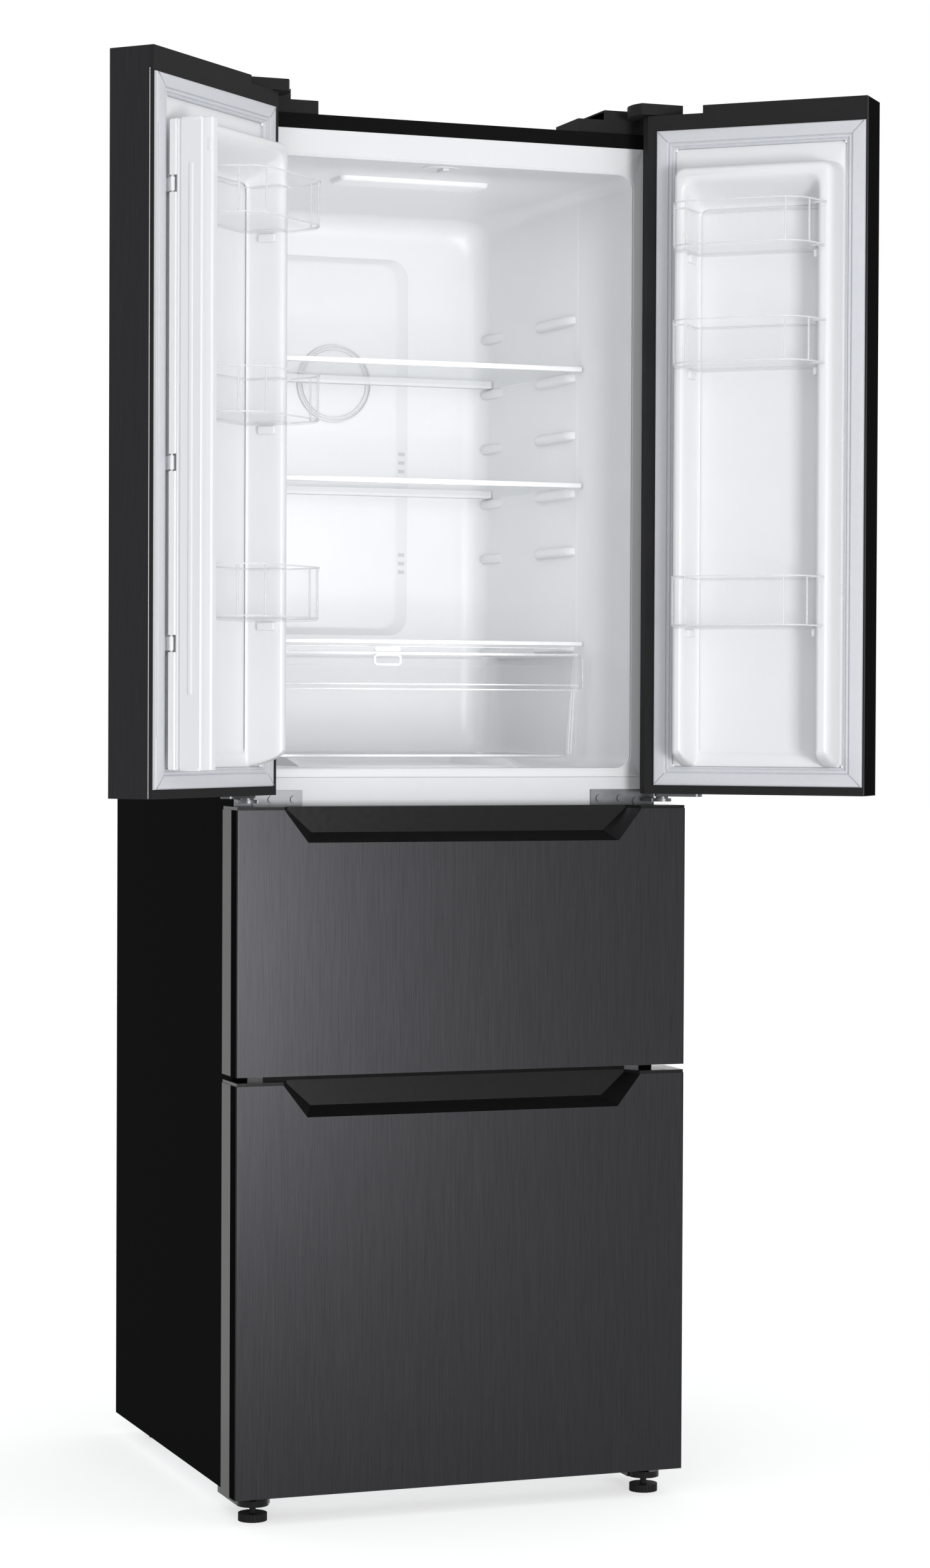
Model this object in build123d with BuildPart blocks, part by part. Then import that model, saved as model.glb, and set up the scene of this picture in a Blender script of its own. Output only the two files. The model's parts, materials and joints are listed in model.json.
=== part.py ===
"""Slim four-door fridge-freezer: two fridge doors above two freezer drawers. Millimetres, +Z up, the
floor at z = 0, the front of the cabinet in the plane y = 0 and its middle at x = 0. Both fridge doors
stand open and the drawers are shut."""
from build123d import *
import os
from math import cos, radians, sin

os.makedirs("parts", exist_ok=True)

# How far a cut runs past the surface it opens
BEYOND = 20.0

# A cylinder that stands on its place, and one that hangs below it
RISING = (Align.CENTER, Align.CENTER, Align.MIN)
SINKING = (Align.CENTER, Align.CENTER, Align.MAX)

# Overall sizes
FRONT_WIDTH = 595.0
FRONT_REACH = 67.0
SIDE_SETBACK = 15.5
CABINET_DEPTH = 560.0
CABINET_TOP = 1739.0
CABINET_BOTTOM = 27.0
SHEET = 1.0
FOLD_RADIUS = 2.5
FLANGE_SIDE = 19.2
FLANGE_TOP = 18.5
front_half = FRONT_WIDTH / 2
cabinet_half = front_half - SIDE_SETBACK
flange_half = cabinet_half - FLANGE_SIDE

# Heights of the doors and drawer fronts, and of the compartments behind them
DOOR_BOTTOM = 896.0
DOOR_RISE = 24.5
DOOR_DRAWER_GAP = 18.5
DRAWER_GAP = 11.0
UPPER_DRAWER_BOTTOM = 551.5
LOWER_DRAWER_BOTTOM = 34.0
TOP_INSULATION = 53.0
FLOOR_ABOVE_DOOR = 32.0
SEAM_ABOVE_DOOR = 20.5
FREEZER_BELOW_DOOR = 49.0
CROSSBAR_DROP = 41.5
CROSSBAR_RISE = 32.5
FREEZER_FLOOR = 62.0
door_top = CABINET_TOP + DOOR_RISE
ceiling = CABINET_TOP - TOP_INSULATION
fridge_floor = DOOR_BOTTOM + FLOOR_ABOVE_DOOR
seam = DOOR_BOTTOM + SEAM_ABOVE_DOOR
freezer_ceiling = DOOR_BOTTOM - FREEZER_BELOW_DOOR
upper_drawer_top = DOOR_BOTTOM - DOOR_DRAWER_GAP
lower_drawer_top = UPPER_DRAWER_BOTTOM - DRAWER_GAP
crossbar_bottom = UPPER_DRAWER_BOTTOM - CROSSBAR_DROP
crossbar_top = UPPER_DRAWER_BOTTOM + CROSSBAR_RISE

# Fridge compartment
OPENING_INSET = 15.8
LINER_TAPER = 23.0
BACK_INSULATION = 80.0
LINER = 2.0
LINER_RADIUS = 18.0
LOWEST_LEDGE = 291.5
LEDGE_SPACING = 76.5
LEDGE_COUNT = 5
LEDGE_REACH = 11.0
LEDGE_HEIGHT = 14.0
LID_LEDGE_HEIGHT = 9.0
LEDGE_FRONT = 166.0
LEDGE_LENGTH = 123.0
REAR_LEDGE_GAP = 5.0
REAR_LEDGE_LENGTH = 70.0
FLOOR_RIB = 11.0
FLOOR_RIB_X = 150.0
FLOOR_RIB_WIDTH = 12.0
FLOOR_RIB_INSET = 20.0
opening_half = flange_half - OPENING_INSET
back_half = opening_half - LINER_TAPER
compartment_back = CABINET_DEPTH - BACK_INSULATION
ledge_tops = [fridge_floor + LOWEST_LEDGE + LEDGE_SPACING * step for step in range(LEDGE_COUNT)]
rear_ledge_front = compartment_back - REAR_LEDGE_GAP - REAR_LEDGE_LENGTH

# Freezer compartment
FREEZER_INSET = 19.8
BAY_DEPTH = 260.0
STEP_HEIGHT = 270.0
STEP_CHAMFER = 30.0
BAY_WALL = 26.0
AIR_SPACE = 65.0
BACK_COVER_WALL = 3.0
freezer_half = flange_half - FREEZER_INSET
step_depth = CABINET_DEPTH - BAY_DEPTH
back_cover_front = compartment_back - AIR_SPACE

# Doors and drawer fronts
LIP_GAP = 6.0
SEAL_GAP = 0.6
SEAL_SEAT = 4.0
SEAL_WIDTH = 24.0
DOOR_GAP = 5.0
SIDE_WRAP = 55.0
DRAWER_WRAP = 24.0
HINGE_INSET = 21.0
HINGE_AHEAD = 40.0
HINGE_CHAMFER = 9.0
LEFT_OPEN = 137.3
RIGHT_OPEN = 138.2
CAP_STEP = 10.0
SEAL_FREE = 1.5
SEAL_BELOW_TOP = 30.0
SEAL_ABOVE_BOTTOM = 11.0
DYKE_CREST = 38.0
DYKE_DRAFT = 5.0
front = -FRONT_REACH
lip = -LIP_GAP
seal_back = -SEAL_GAP
seat = -LIP_GAP - SEAL_SEAT
hinge_x = front_half - HINGE_INSET
hinge_y = -HINGE_AHEAD
free_x = DOOR_GAP / 2

# Folding flap on the left door, as it lies when folded and the door is shut
FLAP_THICK = 16.0
FLAP_WIDTH = 56.5
FLAP_FACE = 22.0
FLAP_NEAR = 3.0
FLAP_PIVOT_X = 26.1
FLAP_PIVOT_Y = 5.1
FLAP_ABOVE_FLOOR = 1.5
FLAP_BELOW_CEILING = 5.5
FLAP_SLOT_HEIGHT = 20.0
FLAP_LOW_SLOT = 136.5
FLAP_MIDDLE_SLOT = 209.0
FLAP_TOP_SLOT = 84.5
flap_bottom = fridge_floor + FLAP_ABOVE_FLOOR
flap_top = ceiling - FLAP_BELOW_CEILING
lowest_slot = flap_bottom + FLAP_LOW_SLOT
flap_slots = (lowest_slot, lowest_slot + FLAP_MIDDLE_SLOT, flap_top - FLAP_TOP_SLOT)

# Hinges, feet and rollers
PIN_RADIUS = 4.0
PIN_CLEARANCE = 0.08
ARM_BELOW_DOOR = 10.5
ARM_THICK = 4.0
TOP_PLATE = 4.0
FOOT_INSET = 20.0
FOOT_Y = -25.0
FOOT_RADIUS = 18.0
FOOT_HEIGHT = 9.5
STUD_RADIUS = 4.0
ROLLER_RADIUS = 14.0
ROLLER_WIDTH = 16.0
ROLLER_INSET = 42.0
ROLLER_FROM_BACK = 55.0
AXLE_RADIUS = 4.0
arm_bottom = DOOR_BOTTOM - ARM_BELOW_DOOR
foot_x = cabinet_half - FOOT_INSET
roller_x = cabinet_half - ROLLER_INSET
roller_y = CABINET_DEPTH - ROLLER_FROM_BACK

# Hinge screws: insets from the cabinet's side with drops below the door, or places on the cabinet top
SCREW_RADIUS = 2.0
SCREW_HOLE = 2.3
SCREW_HEAD = 4.5
SCREW_HEAD_HEIGHT = 2.5
SCREW_LENGTH = 14.0
CENTRE_SCREWS = ((77.0, 7.0), (48.0, 7.0), (26.5, 10.5))
TOP_SCREWS = ((67.0, 24.0), (67.0, 58.0), (20.0, 58.0))

# Shelves and crisper
GLASS = 4.0
SHELF_FRONT = 142.0
SHELF_BACK_GAP = 25.0
SHELF_SIDE_GAP = 3.0
UPPER_SHELF_LEDGE = 3
LOWER_SHELF_LEDGE = 1
REST_GAP = 0.3
TRIM_DEPTH = 14.0
TRIM_HEIGHT = 7.0
TRIM_GRIP = 3.0
TRIM_DROP = 1.6
TRIM_RISE = 1.2
LID_LIP = 5.0
LID_LIP_DEPTH = 12.0
LID_OVERHANG = 4.0
LID_LIP_INSET = 16.0
LID_ABOVE_FLOOR = 163.6
CRISPER_ABOVE_FLOOR = 147.0
CRISPER_FRONT = 112.0
CRISPER_BACK_GAP = 50.0
CRISPER_SIDE_GAP = 18.0
CRISPER_BODY_INSET = 6.0
CRISPER_DRAFT = 9.0
CRISPER_FACE = 16.0
CRISPER_FACE_HEIGHT = 48.0
GRIP_MARGIN = 24.0
GRIP_DEPTH = 9.0
GRIP_LOW = 39.0
GRIP_HIGH = 16.0
BIN_WALL = 2.5
shelf_back = compartment_back - SHELF_BACK_GAP
lid_top = fridge_floor + LID_ABOVE_FLOOR
crisper_top = fridge_floor + CRISPER_ABOVE_FLOOR
crisper_back = compartment_back - CRISPER_BACK_GAP
crisper_half = opening_half - CRISPER_SIDE_GAP
crisper_body_half = crisper_half - CRISPER_BODY_INSET
crisper_base_half = crisper_body_half - CRISPER_DRAFT

# Door bins, by the heights of their undersides above the door's bottom
UPPER_BIN_HEIGHT = 57.0
LOW_BIN_HEIGHT = 64.5
BIN_FRONT = 104.0
LEFT_BINS = (675.0, 445.0, 209.5)
RIGHT_BINS = (676.0, 531.0, 207.5)
bin_sizes = (UPPER_BIN_HEIGHT, UPPER_BIN_HEIGHT, LOW_BIN_HEIGHT)

# Freezer baskets and rails
ARM_HEIGHT = 22.0
CHANNEL = 10.0
RAIL_GAP = 0.5
UPPER_RAIL_DROP = 102.5
LOWER_RAIL_DROP = 185.5
RAIL_LENGTH = 360.0
LOWER_RAIL_GAP = 30.0
BASKET_WALL = 3.0
upper_rail = upper_drawer_top - UPPER_RAIL_DROP
lower_rail = lower_drawer_top - LOWER_RAIL_DROP
lower_rail_length = step_depth - LOWER_RAIL_GAP


def block(x0, x1, y0, y1, z0, z1, mode=Mode.ADD):
    """A box between two corners, added to the part being built or cut from it."""
    with Locations(((x0 + x1) / 2, (y0 + y1) / 2, (z0 + z1) / 2)):
        Box(abs(x1 - x0), abs(y1 - y0), abs(z1 - z0), mode=mode)


def frustum(near, far, radius, mode=Mode.ADD):
    """A rounded box along y between two rectangles, each given as (y, x0, x1, z0, z1)."""
    ends = []
    for y, x0, x1, z0, z1 in (near, far):
        with BuildSketch(Plane.XZ.offset(-y)) as end:
            with Locations(((x0 + x1) / 2, (z0 + z1) / 2)):
                RectangleRounded(abs(x1 - x0), z1 - z0, radius)
        ends.append(end.sketch)
    loft(sections=ends, ruled=True, mode=mode)


def taper(half0, y0, half1, y1, z0, z1, radius, mode=Mode.ADD):
    """A rounded box along y, from one half width at y0 to another at y1."""
    frustum((y0, -half0, half0, z0, z1), (y1, -half1, half1, z0, z1), radius, mode)


def ring(x0, x1, z0, z1, width, y0, y1, radius=0.0):
    """A rectangular frame that faces the front."""
    with BuildSketch(Plane.XZ.offset(-y1)) as frame:
        with Locations(((x0 + x1) / 2, (z0 + z1) / 2)):
            if radius:
                RectangleRounded(abs(x1 - x0), z1 - z0, radius)
            else:
                Rectangle(abs(x1 - x0), z1 - z0)
            Rectangle(abs(x1 - x0) - 2 * width, z1 - z0 - 2 * width, mode=Mode.SUBTRACT)
    extrude(to_extrude=frame.sketch, amount=y1 - y0)


def save(shape, name):
    """Labels a finished piece and writes it under its own name."""
    shape.label = name
    export_step(shape, f"parts/{name}.step")


def screw_holes(centre, top):
    """Holes for the hinge screws, through the divider front or down through the cabinet top."""
    for side in (-1, 1):
        if centre:
            for inset, drop in CENTRE_SCREWS:
                place = (side * (cabinet_half - inset), 0, DOOR_BOTTOM - drop)
                with Locations(Location(place, (90, 0, 0))):
                    Cylinder(SCREW_HOLE, 2 * SCREW_LENGTH, mode=Mode.SUBTRACT)
        if top:
            for inset, y in TOP_SCREWS:
                with Locations((side * (cabinet_half - inset), y, CABINET_TOP)):
                    Cylinder(SCREW_HOLE, 2 * SCREW_LENGTH, mode=Mode.SUBTRACT)


def wall_at(y):
    """Half width of the fridge compartment at a depth."""
    return opening_half + (back_half - opening_half) * y / compartment_back


def ledge_plan(side, y0, y1):
    """A ledge seen from above, from inside the side wall inwards."""
    with BuildLine() as outline:
        Polyline((side * (wall_at(y0) + LINER / 2), y0), (side * (wall_at(y1) + LINER / 2), y1),
                 (side * (wall_at(y1) - LEDGE_REACH), y1), (side * (wall_at(y0) - LEDGE_REACH), y0),
                 close=True)
    make_face(outline.edges())


# Cabinet shell: two sides, the top and the folded front flange
with BuildPart() as cabinet_shell:
    block(-cabinet_half, cabinet_half, 0, CABINET_DEPTH, CABINET_BOTTOM, CABINET_TOP)
    fillet(cabinet_shell.edges().filter_by(Axis.Z).group_by(Axis.Y)[0], radius=FOLD_RADIUS)
    inner = cabinet_half - SHEET
    with BuildSketch(Plane.XY.offset(CABINET_BOTTOM)) as hollow:
        with Locations((0, (SHEET + CABINET_DEPTH) / 2)):
            Rectangle(2 * inner, CABINET_DEPTH - SHEET)
        fillet(hollow.vertices().group_by(Axis.Y)[0], radius=FOLD_RADIUS - SHEET)
    extrude(amount=CABINET_TOP - SHEET - CABINET_BOTTOM, mode=Mode.SUBTRACT)
    block(-flange_half, flange_half, 0, SHEET, CABINET_BOTTOM, CABINET_TOP - FLANGE_TOP, Mode.SUBTRACT)
    fillet(cabinet_shell.edges().filter_by(Axis.Y).group_by(Axis.Z)[-1], radius=SHEET / 2)
    screw_holes(False, True)
save(cabinet_shell.part, "cabinet_shell")

# Rear panel with its two stiffening grooves, above the compressor bay
BACK_PANEL_BOTTOM = STEP_HEIGHT - BAY_WALL - 2 * SHEET
GROOVE_WIDTH = 14.0
panel_half = cabinet_half - SHEET
with BuildPart() as back_panel:
    block(-panel_half, panel_half, CABINET_DEPTH - SHEET, CABINET_DEPTH, BACK_PANEL_BOTTOM,
          CABINET_TOP - SHEET)
    for x in (-panel_half / 2, panel_half / 2):
        block(x - GROOVE_WIDTH / 2, x + GROOVE_WIDTH / 2, CABINET_DEPTH - SHEET / 2, CABINET_DEPTH,
              BACK_PANEL_BOTTOM + GROOVE_WIDTH, CABINET_TOP - 2 * GROOVE_WIDTH, Mode.SUBTRACT)
save(back_panel.part, "back_panel")

# Fridge liner: the white box, its front flange and the shelf ledges
liner_outer = opening_half + LINER
with BuildPart() as fridge_liner:
    block(-flange_half, flange_half, 0, LINER, seam, CABINET_TOP - FLANGE_TOP)
    taper(liner_outer, 0, back_half + LINER, compartment_back + LINER, fridge_floor - LINER,
          ceiling + LINER, LINER_RADIUS + LINER)
    taper(opening_half, 0, back_half, compartment_back, fridge_floor, ceiling, LINER_RADIUS, Mode.SUBTRACT)
    for top in (*ledge_tops, lid_top - GLASS - REST_GAP):
        height = LEDGE_HEIGHT if top in ledge_tops else LID_LEDGE_HEIGHT
        for start, length in ((LEDGE_FRONT, LEDGE_LENGTH), (rear_ledge_front, REAR_LEDGE_LENGTH)):
            for side in (-1, 1):
                with BuildSketch(Plane.XY.offset(top - height)):
                    ledge_plan(side, start, start + length)
                extrude(amount=height)
    for x in (-FLOOR_RIB_X, FLOOR_RIB_X):
        block(x - FLOOR_RIB_WIDTH / 2, x + FLOOR_RIB_WIDTH / 2, CRISPER_FRONT + FLOOR_RIB_INSET,
              crisper_back - 2 * FLOOR_RIB_INSET,
              fridge_floor - LINER / 2, fridge_floor + FLOOR_RIB)
save(fridge_liner.part, "fridge_liner")

# White divider front between the compartments
DIVIDER_DEPTH = 30.0
with BuildPart() as divider_front:
    block(-flange_half, flange_half, 0, DIVIDER_DEPTH, freezer_ceiling + LINER, seam - REST_GAP)
    block(-flange_half + LINER, flange_half - LINER, LINER, DIVIDER_DEPTH, freezer_ceiling + 2 * LINER,
          seam - REST_GAP - LINER, Mode.SUBTRACT)
    screw_holes(True, False)
save(divider_front.part, "divider_front")

# Freezer liner with the step over the compressor bay and its front flange
freezer_outer = freezer_half + LINER


def stepped(half, floor, ceiling, back, step_back, step_top, mode):
    """The freezer cavity's side profile, extruded across the cabinet."""
    with BuildSketch(Plane.YZ.offset(-half)) as profile:
        with BuildLine():
            Polyline((0, floor), (step_back, floor), (step_back, step_top - STEP_CHAMFER),
                     (step_back + STEP_CHAMFER, step_top), (back, step_top), (back, ceiling), (0, ceiling),
                     close=True)
        make_face()
    extrude(to_extrude=profile.sketch, amount=2 * half, mode=mode)


with BuildPart() as freezer_liner:
    stepped(freezer_outer, FREEZER_FLOOR - LINER, freezer_ceiling + LINER, compartment_back + LINER,
            step_depth + LINER, STEP_HEIGHT - LINER, Mode.ADD)
    block(-flange_half, flange_half, 0, LINER, FREEZER_FLOOR - LINER, freezer_ceiling + LINER)
    stepped(freezer_half, FREEZER_FLOOR, freezer_ceiling, compartment_back, step_depth, STEP_HEIGHT,
            Mode.SUBTRACT)
save(freezer_liner.part, "freezer_liner")

# Crossbar that both drawer seals close against
CROSSBAR_DEPTH = 30.0
crossbar_half = freezer_half - REST_GAP
with BuildPart() as freezer_crossbar:
    block(-crossbar_half, crossbar_half, 0, CROSSBAR_DEPTH, crossbar_bottom, crossbar_top)
    block(-crossbar_half, crossbar_half, LINER, CROSSBAR_DEPTH, crossbar_bottom + LINER,
          crossbar_top - LINER, Mode.SUBTRACT)
save(freezer_crossbar.part, "freezer_crossbar")

# Base plate under the cabinet, with the front sill and the deck of the compressor bay
BASE_SHEET = 2.0
ROLLER_SIDE_GAP = 1.0
ROLLER_CHEEK = 28.0
ROLLER_CHEEK_BOTTOM = 8.0
WELL_GAP = 2.0
base_half = cabinet_half - SHEET - REST_GAP
with BuildPart() as base_plate:
    block(-base_half, base_half, FOLD_RADIUS, CABINET_DEPTH - SHEET, CABINET_BOTTOM,
          CABINET_BOTTOM + BASE_SHEET)
    block(-flange_half, flange_half, 0, BASE_SHEET, CABINET_BOTTOM, FREEZER_FLOOR - LINER - REST_GAP)
    for side in (-1, 1):
        for cheek in (-1, 1):
            inside = side * roller_x + cheek * (ROLLER_WIDTH / 2 + ROLLER_SIDE_GAP)
            block(inside, inside + cheek * BASE_SHEET, roller_y - ROLLER_CHEEK / 2,
                  roller_y + ROLLER_CHEEK / 2, ROLLER_CHEEK_BOTTOM, CABINET_BOTTOM + BASE_SHEET)
        with Locations(Location((side * roller_x, roller_y, ROLLER_RADIUS), (0, 90, 0))):
            Cylinder(AXLE_RADIUS, ROLLER_WIDTH + 2 * (ROLLER_SIDE_GAP + BASE_SHEET))
        block(side * roller_x - ROLLER_WIDTH / 2 - ROLLER_SIDE_GAP,
              side * roller_x + ROLLER_WIDTH / 2 + ROLLER_SIDE_GAP, roller_y - ROLLER_RADIUS - WELL_GAP,
              roller_y + ROLLER_RADIUS + WELL_GAP, CABINET_BOTTOM, CABINET_BOTTOM + BASE_SHEET,
              Mode.SUBTRACT)
save(base_plate.part, "base_plate")

# Insulating foam between the shell and the liners
FOAM_GAP = 0.2
foam_half = cabinet_half - SHEET - FOAM_GAP
foam_front = LINER + FOAM_GAP
foam_back = CABINET_DEPTH - SHEET - FOAM_GAP
foam_bottom = CABINET_BOTTOM + BASE_SHEET + FOAM_GAP
foam_top = CABINET_TOP - SHEET - FOAM_GAP
bay_front = step_depth + BAY_WALL
bay_ceiling = STEP_HEIGHT - BAY_WALL
with BuildPart() as cabinet_foam:
    with BuildSketch(Plane.YZ.offset(-foam_half)):
        with BuildLine():
            Polyline((foam_front, foam_bottom), (bay_front, foam_bottom),
                     (bay_front, bay_ceiling - STEP_CHAMFER), (bay_front + STEP_CHAMFER, bay_ceiling),
                     (foam_back, bay_ceiling), (foam_back, foam_top), (foam_front, foam_top), close=True)
        make_face()
    extrude(amount=2 * foam_half)
    taper(liner_outer + FOAM_GAP, 0, back_half + LINER + FOAM_GAP, compartment_back + LINER + FOAM_GAP,
          fridge_floor - LINER - FOAM_GAP, ceiling + LINER + FOAM_GAP, LINER_RADIUS + LINER, Mode.SUBTRACT)
    stepped(freezer_outer + FOAM_GAP, FREEZER_FLOOR - LINER - FOAM_GAP, freezer_ceiling + LINER + FOAM_GAP,
            compartment_back + LINER + FOAM_GAP, step_depth + LINER + FOAM_GAP,
            STEP_HEIGHT - LINER - FOAM_GAP, Mode.SUBTRACT)
    block(-flange_half - FOAM_GAP, flange_half + FOAM_GAP, 0, DIVIDER_DEPTH + FOAM_GAP,
          freezer_ceiling, seam, Mode.SUBTRACT)
    screw_holes(False, True)
save(cabinet_foam.part, "cabinet_foam")

# Compressor on its feet in the bay at the lower back
COMPRESSOR_X = -90.0
COMPRESSOR_FROM_BACK = 120.0
COMPRESSOR_RADIUS = 62.0
COMPRESSOR_HEIGHT = 135.0
COMPRESSOR_STRETCH = 1.2
COMPRESSOR_CROWN = 32.0
COMPRESSOR_BOTTOM_ROUND = 6.0
COMPRESSOR_LIFT = 8.0
FOOT_SPACING = 150.0
FOOT_DEPTH = 90.0
COMPRESSOR_FOOT = 12.0
COMPRESSOR_FOOT_RADIUS = 10.0
FOOT_PLATE = 3.0
FOOT_PLATE_EDGE = 13.0
CRADLE = 60.0
deck = CABINET_BOTTOM + BASE_SHEET
compressor_y = CABINET_DEPTH - COMPRESSOR_FROM_BACK
foot_top = deck + COMPRESSOR_FOOT
plate_half_x = FOOT_SPACING / 2 + FOOT_PLATE_EDGE
plate_half_y = FOOT_DEPTH / 2 + FOOT_PLATE_EDGE
with BuildPart() as compressor:
    with BuildSketch(Plane.XY.offset(foot_top + COMPRESSOR_LIFT)):
        with Locations((COMPRESSOR_X, compressor_y)):
            Ellipse(COMPRESSOR_RADIUS * COMPRESSOR_STRETCH, COMPRESSOR_RADIUS)
    extrude(amount=COMPRESSOR_HEIGHT)
    fillet(compressor.edges().group_by(Axis.Z)[-1], radius=COMPRESSOR_CROWN)
    fillet(compressor.edges().group_by(Axis.Z)[0], radius=COMPRESSOR_BOTTOM_ROUND)
    block(COMPRESSOR_X - plate_half_x, COMPRESSOR_X + plate_half_x, compressor_y - plate_half_y,
          compressor_y + plate_half_y, foot_top, foot_top + FOOT_PLATE)
    block(COMPRESSOR_X - CRADLE / 2, COMPRESSOR_X + CRADLE / 2, compressor_y - CRADLE / 2,
          compressor_y + CRADLE / 2, foot_top + FOOT_PLATE, foot_top + COMPRESSOR_LIFT + FOOT_PLATE)
    with Locations((COMPRESSOR_X, compressor_y, deck + COMPRESSOR_FOOT / 2)):
        with GridLocations(FOOT_SPACING, FOOT_DEPTH, 2, 2):
            Cylinder(COMPRESSOR_FOOT_RADIUS, COMPRESSOR_FOOT)
save(compressor.part, "compressor")

# Vented cover over the compressor bay, with the moulded gland of the power inlet
COVER_THICK = 2.0
COVER_EDGE_GAP = 1.0
VENT_COLUMNS = 12
VENT_ROWS = 13
VENT_PITCH_X = 40.0
VENT_PITCH_Z = 14.0
VENT_LENGTH = 30.0
VENT_HEIGHT = 10.0
GLAND_X = -230.0
GLAND_Z = 74.0
GLAND_RADIUS = 8.0
GLAND_FLANGE = 11.0
GLAND_BORE = 4.0
GLAND_LENGTH = 16.0
cover_back = CABINET_DEPTH - SHEET
with BuildPart() as compressor_cover:
    block(-panel_half + COVER_EDGE_GAP, panel_half - COVER_EDGE_GAP, cover_back - COVER_THICK, cover_back,
          deck + COVER_EDGE_GAP, BACK_PANEL_BOTTOM - COVER_EDGE_GAP)
    with Locations(Location((0, cover_back, (deck + BACK_PANEL_BOTTOM) / 2), (90, 0, 0))):
        with GridLocations(VENT_PITCH_X, VENT_PITCH_Z, VENT_COLUMNS, VENT_ROWS):
            Box(VENT_LENGTH, VENT_HEIGHT, 3 * COVER_THICK, mode=Mode.SUBTRACT)
    with Locations(Location((GLAND_X, cover_back, GLAND_Z), (90, 0, 0))):
        Cylinder(GLAND_FLANGE, COVER_THICK, align=RISING)
        Cylinder(GLAND_RADIUS, GLAND_LENGTH, align=RISING)
        Cylinder(GLAND_BORE, 3 * GLAND_LENGTH, mode=Mode.SUBTRACT)
save(compressor_cover.part, "compressor_cover")

# Evaporator: a finned block on two rows of tube
EVAPORATOR_HALF = 190.0
EVAPORATOR_FROM_BACK = 32.0
EVAPORATOR_DEPTH = 44.0
EVAPORATOR_LOW = 330.0
EVAPORATOR_HIGH = 560.0
FIN_COUNT = 26
FIN_THICK = 0.8
TUBE_COUNT = 8
TUBE_RADIUS = 4.0
TUBE_PITCH = 28.0
TUBE_STAGGER = 10.0
TUBE_OVERHANG = 8.0
lowest_tube = EVAPORATOR_LOW + TUBE_PITCH / 2
evaporator_y = compartment_back - EVAPORATOR_FROM_BACK
with BuildPart() as evaporator:
    with Locations((0, evaporator_y, (EVAPORATOR_LOW + EVAPORATOR_HIGH) / 2)):
        with GridLocations(2 * EVAPORATOR_HALF / (FIN_COUNT - 1), 1, FIN_COUNT, 1):
            Box(FIN_THICK, EVAPORATOR_DEPTH, EVAPORATOR_HIGH - EVAPORATOR_LOW)
    for row in range(TUBE_COUNT):
        tube_y = evaporator_y + (TUBE_STAGGER if row % 2 else -TUBE_STAGGER)
        with Locations(Location((0, tube_y, lowest_tube + TUBE_PITCH * row), (0, 90, 0))):
            Cylinder(TUBE_RADIUS, 2 * (EVAPORATOR_HALF + TUBE_OVERHANG))
save(evaporator.part, "evaporator")

# Freezer back cover with its air slots, the round fan opening and the fan's axle
FAN_DROP = 147.0
FAN_RADIUS = 46.0
FAN_OPENING = 49.0
FAN_SETBACK = 3.0
BLADE_COUNT = 5
BLADE_LENGTH = 32.0
BLADE_THICK = 3.0
BLADE_TWIST = 6.0
BLADE_HALF_DEPTH = 5.0
HUB_RADIUS = 15.0
HUB_DEPTH = 14.0
AXLE_SEAT = 10.0
SHAFT_RADIUS = 2.0
SPOKE_WIDTH = 4.0
COVER_SIDE_GAP = 3.0
COVER_TOP_GAP = 2.0
SLOT_PITCH = 70.0
HIGH_SLOTS = (42.0, 50.0, 7.0, 5, 2, 16.0)
LOW_SLOTS = (377.0, 46.0, 8.0, 6, 3, 20.0)
fan_z = freezer_ceiling - FAN_DROP
cover_half = freezer_half - COVER_SIDE_GAP
with BuildPart() as freezer_back_cover:
    block(-cover_half, cover_half, back_cover_front, back_cover_front + BACK_COVER_WALL,
          STEP_HEIGHT + COVER_SIDE_GAP, freezer_ceiling - COVER_TOP_GAP)
    with Locations(Location((0, back_cover_front, fan_z), (90, 0, 0))):
        Cylinder(FAN_OPENING, BEYOND, mode=Mode.SUBTRACT)
    for drop, length, height, columns, rows, row_pitch in (HIGH_SLOTS, LOW_SLOTS):
        with Locations(Location((0, back_cover_front, freezer_ceiling - drop), (90, 0, 0))):
            with GridLocations(SLOT_PITCH, row_pitch, columns, rows):
                Box(length, height, BEYOND, mode=Mode.SUBTRACT)
    for angle in (0, 90):
        with Locations(Location((0, back_cover_front + BACK_COVER_WALL / 2, fan_z), (0, angle, 0))):
            Box(2 * (FAN_OPENING + 1), BACK_COVER_WALL, SPOKE_WIDTH)
    with Locations(Location((0, back_cover_front + 1, fan_z), (90, 0, 0))):
        Cylinder(SHAFT_RADIUS, HUB_DEPTH + FAN_SETBACK + 2, align=SINKING)
        Cylinder(AXLE_SEAT, FAN_SETBACK + 1, align=SINKING)
save(freezer_back_cover.part, "freezer_back_cover")

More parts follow.
